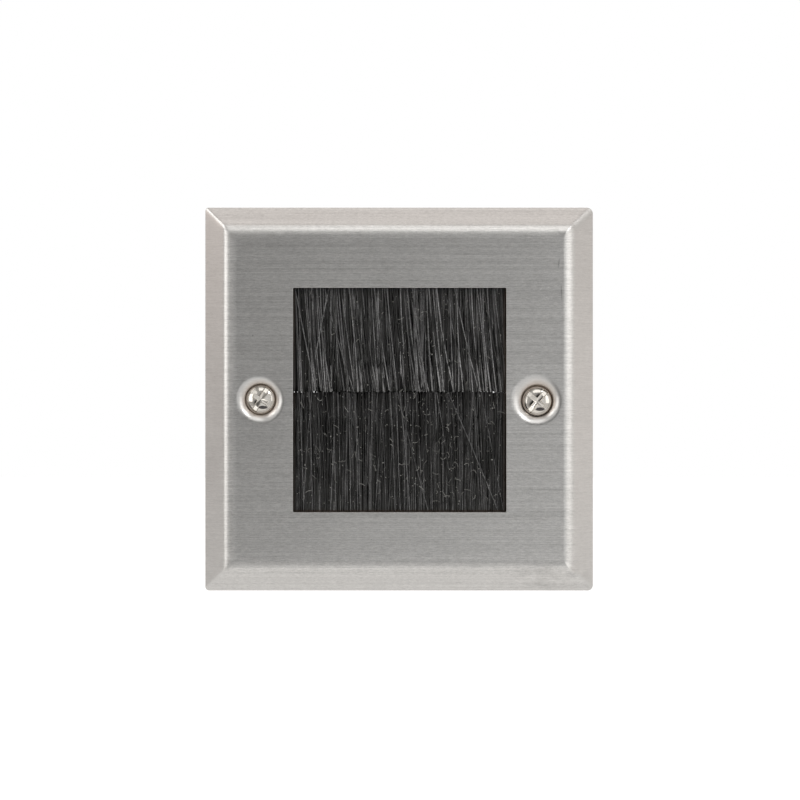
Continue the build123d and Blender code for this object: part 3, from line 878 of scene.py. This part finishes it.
def head_heights(x, z, sizes):
    """The head's y: an arc of a ball with a flatter edge band, less a slot and a tapered cross.

    x runs along the slot and z across it, both from the screw's axis.
    """
    band_width, band_start, band_drop, edge_fade = 0.43, 0.1, 0.06, 0.3
    radius = np.hypot(x, z)
    ball = (sizes.head**2 + sizes.dome**2) / (2 * sizes.dome)
    top = FRONT + sizes.sink
    dome = top + ball - np.sqrt(np.maximum(ball**2 - radius**2, 0.0))
    band = np.clip((radius - sizes.head + band_width) / band_start, 0, 1)
    dome += band_drop * band * (3 - 2 * band) * band * np.clip((sizes.head - radius) / edge_fade, 0, 1)

    def within(distance, half):
        """One inside half, falling to nothing over a narrow wall."""
        outside, wall = 0.04, 0.09
        step = np.clip((half + outside - np.abs(distance)) / wall, 0, 1)
        return step * step * (3 - 2 * step)

    half_slot, half_cross = sizes.slot / 2, sizes.cross / 2
    half_wing, taper_end = half_slot * 0.95, half_cross + 0.15
    floor = top + sizes.slot_depth
    cross = np.maximum(within(z, half_wing) * within(x, half_cross),
                       within(x, half_wing) * within(z, half_cross))
    cross_floor = floor + sizes.cross_depth * np.clip(1 - radius / taper_end, 0, 1)
    height = dome + within(z, half_slot) * np.maximum(floor - dome, 0)
    return np.where(cross > 0, np.maximum(height, dome + cross * (cross_floor - dome)), height)


def screw_surfaces(centre, drop, angle, sizes):
    """A raised countersunk screw: a head by height, a turned cone and neck, and a helical thread."""
    fine, coarse = 192, 48
    neck_end = -1.02
    top_edge = FRONT + sizes.sink + sizes.dome
    radii = np.concatenate([np.linspace(0, sizes.head - 0.06, 76), [sizes.head - 0.03, sizes.head]])
    turn = np.arange(fine) * TAU / fine
    radius, around = np.meshgrid(radii, turn, indexing="ij")
    y = head_heights(radius * np.cos(around - angle), radius * np.sin(around - angle), sizes)
    y[-1] = np.maximum(y[-2], top_edge + 0.03)
    head = np.stack([centre + radius * np.cos(around), y, radius * np.sin(around) - drop], -1)
    cone_top = top_edge + 0.12
    cone_end = cone_top + sizes.head - sizes.neck
    under = rounded([(sizes.head, cone_top - 0.04), (sizes.head, cone_top), (sizes.neck, cone_end),
                     (sizes.neck, neck_end)], [0.03, 0.15], steps=4, support=0.02)
    under = ring(under, (centre, -drop), fine)
    side = np.stack([head[-1], under[0]])
    surfaces = [surface(head, wrap=True), surface(side, wrap=True), surface(under, wrap=True)]

    rows = np.arange(neck_end + 0.02, SCREW_TIP - 0.02, sizes.pitch / 8)
    rows = np.concatenate([[neck_end], rows, [SCREW_TIP]])
    turn = np.arange(coarse) * TAU / coarse
    along, around = np.meshgrid(rows, turn, indexing="ij")
    crest, flank = 1.2, 2.6
    start_length, start_drop, start_slope, tip_radius = 0.5, 0.22, 0.9, 0.85
    phase = (along / sizes.pitch - around / TAU) % 1.0
    tooth = np.clip(crest - flank * np.abs(phase - 0.5), 0, 1)
    fade = np.clip((along - neck_end) / start_length, 0, 1)
    run_in = sizes.thread - start_drop + (along - neck_end) * start_slope
    point = tip_radius + (SCREW_TIP - along)
    outer = np.minimum(sizes.thread, np.minimum(run_in, point))
    root = np.minimum(sizes.thread - sizes.thread_depth, outer)
    radius = root + (outer - root) * tooth * fade
    radius[0] = sizes.thread - sizes.thread_depth
    thread = np.stack([centre + radius * np.cos(around), along, radius * np.sin(around) - drop], -1)
    pole = np.tile(np.array([centre, SCREW_TIP, -drop]), (1, coarse, 1))
    surfaces.append(surface(np.concatenate([thread, pole]), wrap=True))

    here = np.arange(coarse)
    ahead = (here + 1) % coarse
    ratio = fine // coarse
    neck = [coarse + (here * ratio + k) % fine for k in range(ratio + 1)]
    fans = [np.stack(corners, -1) for corners in (
        (here, neck[0], neck[1]), (here, neck[1], neck[2]), (here, neck[2], ahead),
        (ahead, neck[2], neck[3]), (ahead, neck[3], neck[4]),
    )]
    surfaces.append((np.concatenate([thread[0], under[-1]]), fans))
    return surfaces


# Strip brushes


def tubes(lines, radii, sides):
    """Closed tubes along many lines at once: (lines, points, 3) and a radius for each line.

    Each ring lies across the line's own direction; the ends are capped.
    """
    count, points = lines.shape[:2]
    ahead = np.gradient(lines, axis=1)
    ahead /= np.linalg.norm(ahead, axis=-1, keepdims=True)
    across = np.cross(ahead, np.array([1.0, 0.0, 0.0]))
    across /= np.maximum(np.linalg.norm(across, axis=-1, keepdims=True), 1e-9)
    second = np.cross(ahead, across)
    angle = np.arange(sides)[:, None] * TAU / sides
    round_line = np.cos(angle) * across[:, :, None] + np.sin(angle) * second[:, :, None]
    rings = lines[:, :, None] + radii[:, None, None, None] * round_line
    start = np.arange(count)[:, None] * points * sides
    quads = (grid_faces(points, sides, True)[None] + start[:, :, None]).reshape(-1, 4)
    first = start + np.arange(sides)
    last = start + (points - 1) * sides + np.arange(sides)[::-1]
    return rings.reshape(-1, 3), [quads[:, ::-1], first, last]


# Filaments that stand out on the front of a brush: root x, tip x and tone
UPPER_STRAYS = (
    (-22.9, -18.2, 0.85), (-18.0, -14.9, 0.7), (-15.1, -19.5, 0.9), (-14.8, -14.7, 1.0), (-11.0, -9.0, 0.95),
    (-5.5, -2.15, 0.9), (-2.7, -0.4, 0.8), (6.05, 7.25, 0.75), (8.15, 11.95, 1.3), (12.0, 17.4, 1.0),
    (16.95, 19.3, 1.0), (18.3, 19.0, 1.0), (-22.0, -21.2, 0.7), (3.4, 4.3, 0.7),
)
LOWER_STRAYS = (
    (6.5, -0.4, 0.8), (21.8, 10.7, 0.85), (22.9, 17.9, 0.9), (-20.9, -19.0, 0.9), (-5.2, -3.4, 0.85),
    (-8.3, -9.9, 0.7), (4.2, 6.0, 0.5),
)

# Where the two brushes' tips don't quite meet: x and half width
SEAM_GAPS = (
    (-22.95, 0.16), (-22.1, 0.14), (-21.35, 0.2), (-18.6, 0.14), (-17.95, 0.2), (20.7, 0.26), (21.8, 0.1),
    (22.45, 0.14), (22.9, 0.14),
)

# How a brush's filaments fall: their lean, the shares of it from clumps and from chance, the share of wild
# ones with their lean and its spread, the bow and its spread, and how ragged the tips are
UPPER_FALL = (0.05, 0.045, 0.03, 0.07, 0.03, 0.12, 0.0009, 0.0012, 0.42)
LOWER_FALL = (-0.012, 0.02, 0.018, 0.03, -0.05, 0.1, 0.0, 0.0008, 0.3)


def filament_lines(sizes, rng, upper):
    """The centre lines of one brush's filaments, each folded over the core wire, and the tone of each.

    Both legs run from the wire through the channel's mouth and fan out to their tips. A leg's place across is
    its root plus its lean times the way down and its bow times that squared; its depth goes from the mouth's
    to its own place at the tips. The strays lie in front of the rest.
    """
    strays = np.array(UPPER_STRAYS if upper else LOWER_STRAYS)
    lean_all, clumps, chance, wild_share, wild_lean, wild_spread, bow_all, bow_spread, ragged = (
        UPPER_FALL if upper else LOWER_FALL)
    count = sizes.upper_count if upper else sizes.lower_count
    total = count + len(strays)
    middle = (BRUSH_LOW[1] + BRUSH_HIGH[1]) / 2
    wire_z, wire_radius = (WIRE_LOW[2] + WIRE_HIGH[2]) / 2, (WIRE_HIGH[2] - WIRE_LOW[2]) / 2
    wire_gap, end_gap, mouth = 0.16, 0.14, 24.9
    calm_width, calmest, hidden_layers, hidden_share, rear_share = 3.0, 0.12, 0.45, 0.35, 0.5
    bend = wire_radius + wire_gap
    limit = BRUSH_HIGH[0] - end_gap
    root_x = np.concatenate([np.linspace(-limit, limit, count) + rng.uniform(-0.1, 0.1, count), strays[:, 0]])
    root_x = np.clip(root_x, -limit, limit)
    layer = np.concatenate([rng.uniform(0.0, 1.0, count), np.full(len(strays), 1.0)])
    is_stray = np.arange(total) >= count
    seam = sizes.seam if upper else -sizes.seam
    near_end = np.minimum(root_x + limit, limit - root_x)
    way = np.array([0.0, 0.06, 0.2, 0.42, 0.68, 1.0])
    clump_x = np.linspace(-limit, limit, 52)
    legs = []
    for side in (-1.0, 1.0):
        clump = np.interp(root_x, clump_x, rng.normal(0, 1, len(clump_x)))
        lean = lean_all + clumps * clump + rng.normal(0, chance, total)
        wild = rng.uniform(0, 1, total) < wild_share
        lean = np.where(wild, rng.normal(wild_lean, wild_spread, total), lean)
        bow = rng.normal(bow_all, bow_spread, total)
        free = np.clip(near_end / calm_width, calmest, 1.0)
        free = free * np.where(layer < hidden_layers, hidden_share, 1.0) * (1.0 if side < 0 else rear_share)
        lean, bow = lean * free, bow * free
        tip = seam - sizes.overlap / 2 + ragged * rng.uniform(0.0, 1.0, total) ** 2
        tip_x = root_x + (lean + bow * (mouth - tip)) * (mouth - tip)
        for gap_x, half in SEAM_GAPS:
            tip = np.where(np.abs(tip_x - gap_x) < half, tip + rng.uniform(0.12, 0.22, total), tip)
        if side < 0:
            straight = np.concatenate([np.zeros(count), strays[:, 1] - strays[:, 0]]) / (mouth - tip)
            lean = np.where(is_stray, straight - bow * (mouth - tip), lean)
        reach = (mouth - tip)[:, None] * way
        x = np.clip(root_x[:, None] + lean[:, None] * reach + bow[:, None] * reach**2, -limit, limit)
        inner = side * (0.1 + 0.85 * layer)
        outer = side * (0.08 + (sizes.spread - 0.08) * np.clip(layer + rng.normal(0, 0.12, total), 0, 1))
        swing = np.where(is_stray, 0.0, rng.normal(0, 0.1, total))[:, None] * way * (1 - way) * 4
        depth = inner[:, None] * (1 - way) + outer[:, None] * way + swing
        depth = np.clip(depth, -sizes.spread - 0.03, sizes.spread + 0.03)
        leg = np.stack([x, middle + depth, mouth - reach], -1)
        beside = np.stack([root_x, np.full(total, middle + side * bend), np.full(total, wire_z)], -1)
        legs.append(np.concatenate([leg[:, ::-1], beside[:, None]], 1))
    over = np.stack([root_x, np.full(total, middle), np.full(total, wire_z + bend)], -1)
    lines = np.concatenate([legs[0], over[:, None], legs[1][:, ::-1]], 1)
    if not upper:
        lines = lines * np.array([1.0, 1.0, -1.0])
    # Painted shade: filaments deeper in the brush, with a lower layer, get darker tones than the outer ones
    power = 5.0 - 2.0 * layer[:count]
    tone = np.concatenate([rng.uniform(0, 1, count) ** power, strays[:, 2] * 0.8])
    return lines, tone


def brush_surfaces(upper):
    """One brush's filaments and the tone of each point."""
    sizes = settings("brush")
    sides = 4
    rng = np.random.default_rng(11 if upper else 23)
    lines, tone = filament_lines(sizes, rng, upper)
    thick = sizes.upper_thickness if upper else sizes.lower_thickness
    radii = thick / 2 * rng.uniform(0.7, 1.2, len(lines))
    return tubes(lines, radii, sides), np.repeat(tone, lines.shape[1] * sides)


def scattered(rng, count, right_share, half_width, bottom, top):
    """Chance places on the brushes as x and z, more of them on the right and on the lower brush."""
    x = np.where(rng.uniform(0, 1, count) < right_share, rng.uniform(0, half_width, count),
                 rng.uniform(-half_width, 0, count))
    z = np.where(rng.uniform(0, 1, count) < 0.7, rng.uniform(bottom, 1, count), rng.uniform(2, top, count))
    return x, z


def lint_surfaces():
    """Loose fibres and specks caught on the front of the brushes.

    A fibre is a short arc of a circle with a drift; a speck is a small uneven ball.
    """
    sizes = settings("brush")
    rng = np.random.default_rng(5)
    front = BRUSH_LOW[1] - 0.08
    count, bits = sizes.lint, 8
    x, z = scattered(rng, count, 0.65, 21.5, -22.5, 23)
    long = rng.uniform(0.4, 1.7, count)
    heading = rng.uniform(0, TAU, count)
    curl = rng.normal(0, 1.8, count)
    angle = heading[:, None] + curl[:, None] * np.linspace(0, 1, bits + 1)
    step = long[:, None] / bits
    path_x = x[:, None] + np.cumsum(np.cos(angle) * step, 1)
    path_z = z[:, None] + np.cumsum(np.sin(angle) * step, 1)
    lines = np.stack([path_x, front + 0.05 * np.sin(angle * 2.0), path_z], -1)
    fibres = tubes(lines, rng.uniform(0.03, 0.065, count), 4)

    count, rows, segments = sizes.dust, 5, 6
    x, z = scattered(rng, count, 0.6, 22.5, -23, 23.5)
    size = 0.03 + 0.1 * rng.uniform(0, 1, count) ** 2.5
    down = np.linspace(0, math.pi, rows)[:, None]
    turn = np.arange(segments) * TAU / segments
    ball = np.stack([np.sin(down) * np.cos(turn), 0 * turn + np.cos(down), np.sin(down) * np.sin(turn)], -1)
    centres = np.stack([x, np.full(count, front - 0.02), z], -1)
    stretch = rng.uniform(0.7, 1.6, (count, 1, 1, 3))
    specks = centres[:, None, None] + size[:, None, None, None] * stretch * ball
    start = np.arange(count)[:, None, None] * rows * segments
    faces = (grid_faces(rows, segments, True) + start).reshape(-1, 4)
    return [fibres, (specks.reshape(-1, 3), [faces])]


# Stage


def softbox(name, azimuth, elevation, distance, width, height, brightness, tint):
    """An area lamp that faces the plate. azimuth 0 is in front and 90 at the right; distances in metres."""
    lamp = bpy.data.lights.new(name, "AREA")
    lamp.shape = "RECTANGLE"
    lamp.size, lamp.size_y = width, height
    lamp.energy = brightness * math.pi * width * height
    lamp.color = tint
    thing = bpy.data.objects.new(name, lamp)
    across, up = math.radians(azimuth), math.radians(elevation)
    thing.location = (distance * math.cos(up) * math.sin(across), -distance * math.cos(up) * math.cos(across),
                      distance * math.sin(up))
    thing.rotation_euler = (math.pi / 2 - up, 0.0, across)
    thing.visible_camera = False
    bpy.context.scene.collection.objects.link(thing)


# The lamps: name, azimuth, elevation, distance, width, height, brightness and tint
LAMPS = (
    ("left_front", -49.0, 6.0, 0.9, 0.46, 0.42, 1.52, (1.0, 0.985, 0.96)),
    ("right_front", 48.0, 7.0, 0.9, 0.42, 0.42, 0.98, (1.0, 0.99, 0.98)),
    ("top_front", 3.0, 51.0, 0.9, 0.44, 0.6, 1.06, (1.0, 0.99, 0.975)),
    ("top_left", -58.0, 38.0, 0.9, 0.36, 0.38, 2.25, (1.0, 0.98, 0.96)),
    ("top_right", 35.0, 31.0, 0.9, 0.3, 0.3, 4.1, (1.0, 1.0, 1.0)),
    ("right_ridge", 57.0, 40.0, 0.9, 0.3, 0.3, 0.55, (1.0, 0.985, 0.97)),
    ("behind", 170.0, 45.0, 1.2, 0.8, 0.5, 1.2, (1.0, 1.0, 1.0)),
)


def patch(n, direction, centre, half_sizes):
    """One inside an oval in front, given its centre and half sizes across and up, and nothing round it."""
    x, y, z = direction
    out = n.hypot(n.over(n.minus(x, centre[0]), half_sizes[0]), n.over(n.minus(z, centre[1]), half_sizes[1]))
    return n.times(n.spread(out, 1.1, 0.9), n.spread(y, -0.5, -0.6))


def make_world(ambient):
    """White for the camera and glass, plain light for the rest, and a studio for what metal mirrors.

    The studio is white behind the plate, with warm walls at its sides whose light changes with height. The
    camera's side is dark in the middle, bright to the lower right and dim to the upper left, with one lighter
    patch there and a small bright card round the camera.
    """
    world = bpy.data.worlds.new("studio")
    bpy.context.scene.world = world
    world.use_nodes = True
    world.node_tree.nodes.clear()
    n = Nodes(world.node_tree)
    x, y, z = n.parts(n.add("ShaderNodeTexCoord").outputs["Generated"])
    light = n.add("ShaderNodeLightPath").outputs

    lean = n.plus(n.times(x, 0.75), n.times(z, -0.66))
    front = n.mix(n.spread(lean, -0.036, 0.118), grey(0.0), (0.82, 0.82, 0.815, 1.0))
    front = n.mix(n.spread(lean, -0.195, -0.32), front, (0.44, 0.436, 0.428, 1.0))
    round_front = n.mix(n.spread(lean, -0.5, 0.5), (0.46, 0.45, 0.435, 1.0), (0.74, 0.72, 0.69, 1.0))
    room = n.mix(n.spread(y, -0.915, -0.775), front, round_front)

    wall = n.mix(n.spread(x, -0.7, 0.7), (0.58, 0.512, 0.475, 1.0), (0.945, 0.875, 0.83, 1.0))
    wall = n.mix(n.spread(z, 0.4, 0.7), wall, (1.03, 0.95, 0.9, 1.0))
    left = n.mix(n.spread(z, 0.04, 0.14), grey(0.38), grey(2.7))
    left = n.mix(n.spread(z, -0.08, -0.18), left, grey(1.1))
    right = n.mix(n.spread(z, -0.12, 0.02), grey(2.8), grey(0.7))
    side_light = n.mix(n.spread(x, -0.1, 0.1), left, right)
    lit = n.mix(1.0, wall, side_light, "MULTIPLY")
    wall = n.mix(n.spread(n.math("ABSOLUTE", x), 0.8, 0.93), wall, lit)

    room = n.mix(n.spread(y, -0.35, -0.1), room, wall)
    room = n.mix(n.spread(y, 0.0, 0.3), room, WHITE)
    room = n.mix(patch(n, (x, y, z), (0.0, 0.0), (0.082, 0.018)), room, (1.9, 1.89, 1.855, 1.0))
    room = n.mix(patch(n, (x, y, z), (-0.4, 0.4), (0.14, 0.14)), room, (1.0, 0.985, 0.965, 1.0))

    seen, mirrored, plain = (
        n.add("ShaderNodeBackground", {"Color": colour, "Strength": strength}).outputs[0]
        for colour, strength in ((WHITE, 1.0), (room, 1.0), (WHITE, ambient)))
    on_part = n.add("ShaderNodeMixShader", {0: light["Is Glossy Ray"], 1: plain, 2: mirrored}).outputs[0]
    straight = n.math("MAXIMUM", light["Is Camera Ray"], light["Is Transmission Ray"])
    both = n.add("ShaderNodeMixShader", {0: straight, 1: on_part, 2: seen}).outputs[0]
    n.add("ShaderNodeOutputWorld", {"Surface": both})


def floor_material():
    """Matt white that the camera and mirrors see as white paper, with the part's shadow left on it."""
    material, n, shader, place = new_material("white_paper")
    tone = n.spread(n.noise(place, 8.0, 2.0, 0.5), 0.0, 1.0, 0.86, 0.9)
    light = n.add("ShaderNodeLightPath").outputs
    seen = n.math("MAXIMUM", light["Is Camera Ray"], light["Is Transmission Ray"])
    n.connect(shader, {
        "Base Color": n.tint((1.0, 0.98, 0.955, 1.0), tone), "Roughness": 1.0, "Specular IOR Level": 0.0,
        "Emission Color": WHITE,
        "Emission Strength": n.plus(n.times(seen, 0.6), n.times(light["Is Glossy Ray"], 0.11)),
    })
    return material


# Operators


class BRUSHPLATE_OT_stage(bpy.types.Operator):
    """Add the camera, the lamps, the white surroundings and the floor"""

    bl_idname = "brush_plate.stage"
    bl_label = "Stage"

    def execute(self, context):
        stage = settings("stage")
        scene = context.scene
        scene.view_settings.view_transform = "Standard"
        camera = bpy.data.objects.new("camera", bpy.data.cameras.new("camera"))
        camera.data.lens = stage.lens
        camera.data.sensor_width = 36.0
        camera.data.clip_start, camera.data.clip_end = 0.01, 20.0
        camera.location = (stage.camera_x * MM, -stage.distance * MM, stage.camera_z * MM)
        camera.rotation_euler = (math.pi / 2, 0.0, 0.0)
        scene.collection.objects.link(camera)
        scene.camera = camera
        for lamp in LAMPS:
            softbox(*lamp)
        make_world(stage.ambient)

        lines = 13
        across, deep = np.meshgrid(np.linspace(-2.0, 2.0, lines), np.linspace(-0.22, 3.0, lines))
        points = np.stack([across, deep, np.full_like(across, -stage.floor * MM)], -1)
        mesh = bpy.data.meshes.new("floor")
        mesh.from_pydata(points.reshape(-1, 3).tolist(), [], grid_faces(lines, lines).tolist())
        mesh.materials.append(floor_material())
        floor = bpy.data.objects.new("floor", mesh)
        scene.collection.objects.link(floor)
        return {"FINISHED"}


class BRUSHPLATE_OT_face_plate(bpy.types.Operator):
    """Build the pressed face plate"""

    bl_idname = "brush_plate.face_plate"
    bl_label = "Face plate"

    def execute(self, context):
        make_piece("steel_face", face_plate_surfaces(), brushed_steel(), ("face_plate",),
                   sharp=30.0)
        return {"FINISHED"}


class BRUSHPLATE_OT_screws(bpy.types.Operator):
    """Build the two fixing screws"""

    bl_idname = "brush_plate.screws"
    bl_label = "Fixing screws"

    def execute(self, context):
        sizes = settings("screw")
        half = settings("dish").pitch / 2
        material = nickel_plate()
        for side, centre, drop, angle in (("left", -half, sizes.drop_left, sizes.turn_left),
                                          ("right", half, sizes.drop_right, sizes.turn_right)):
            make_piece(f"fixing_screw_{side}", screw_surfaces(centre, drop, angle, sizes), material,
                       (f"screw_{side}",), sharp=40.0)
        return {"FINISHED"}


class BRUSHPLATE_OT_brushes(bpy.types.Operator):
    """Build the filaments of the two strip brushes, with the lint caught on them"""

    bl_idname = "brush_plate.brushes"
    bl_label = "Strip brushes"

    def execute(self, context):
        # Painted light and shade: the same nylon with a higher lift and brighter tips above, a lower lift
        # below
        for side, tones in (("upper", (0.97, 2.25, 1.0, 0.9)), ("lower", (0.51, 0.95, 6.5, 1.1))):
            built, tone = brush_surfaces(side == "upper")
            material = filament_nylon(f"{side}_filament", *tones)
            make_piece(f"{side}_filaments", [built], material, (f"{side}_bristles",),
                       merge=False, attribute=("filament", tone))
        make_piece("brush_lint", lint_surfaces(), dusty("lint", settings("finishes").lint))
        return {"FINISHED"}


class BRUSHPLATE_OT_rear_parts(bpy.types.Operator):
    """Finish the frame, the channels, the wires, the studs, the nuts and the washers behind the plate"""

    bl_idname = "brush_plate.rear_parts"
    bl_label = "Rear parts"

    def execute(self, context):
        look = settings("finishes")
        finishes = {
            "rear_frame": moulded("black_moulding", look.moulding, 0.42),
            "channel": metal("zinc_channel", look.zinc, 0.38, 260.0, 0.6),
            "retainer": moulded("white_nylon", look.nylon, 0.4, 0.002, 0.15),
            "steel": metal("plain_steel", look.plain_steel, 0.34, 700.0, 0.15),
        }
        for name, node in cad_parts.items():
            if node.hide_render:
                continue
            kind = next((key for key in ("rear_frame", "channel", "retainer") if key in name), "steel")
            node.data.materials.clear()
            node.data.materials.append(finishes[kind])
        return {"FINISHED"}


class BRUSHPLATE_PT_panel(bpy.types.Panel):
    """The brush plate's steps and settings"""

    bl_idname = "BRUSHPLATE_PT_panel"
    bl_label = "Brush plate"
    bl_space_type = "VIEW_3D"
    bl_region_type = "UI"
    bl_category = "Brush plate"

    def draw(self, context):
        for operator in OPERATORS:
            self.layout.operator(operator.bl_idname)
        for name, kind in GROUPS.items():
            box = self.layout.box()
            box.label(text=kind.__doc__.split(",")[0].rstrip("."))
            for key in kind.__annotations__:
                box.prop(settings(name), key)


GROUPS = {"plate": PlateSizes, "dish": DishSizes, "screw": ScrewSizes, "brush": BrushSizes,
          "finishes": Finishes, "stage": StageSizes}
OPERATORS = (BRUSHPLATE_OT_stage, BRUSHPLATE_OT_face_plate, BRUSHPLATE_OT_screws, BRUSHPLATE_OT_brushes,
             BRUSHPLATE_OT_rear_parts)


def register():
    """Adds the classes and the scene's settings."""
    for kind in (*GROUPS.values(), *OPERATORS, BRUSHPLATE_PT_panel):
        bpy.utils.register_class(kind)
    for name, kind in GROUPS.items():
        setattr(bpy.types.Scene, "brush_plate_" + name, PointerProperty(type=kind))


def unregister():
    """Takes the settings and the classes away again."""
    for name in GROUPS:
        delattr(bpy.types.Scene, "brush_plate_" + name)
    for kind in reversed((*GROUPS.values(), *OPERATORS, BRUSHPLATE_PT_panel)):
        bpy.utils.unregister_class(kind)


def main():
    """Builds everything in order."""
    register()
    bpy.ops.brush_plate.stage()
    bpy.ops.brush_plate.face_plate()
    bpy.ops.brush_plate.screws()
    bpy.ops.brush_plate.brushes()
    bpy.ops.brush_plate.rear_parts()
    bpy.context.view_layer.update()


if __name__ == "__main__":
    main()
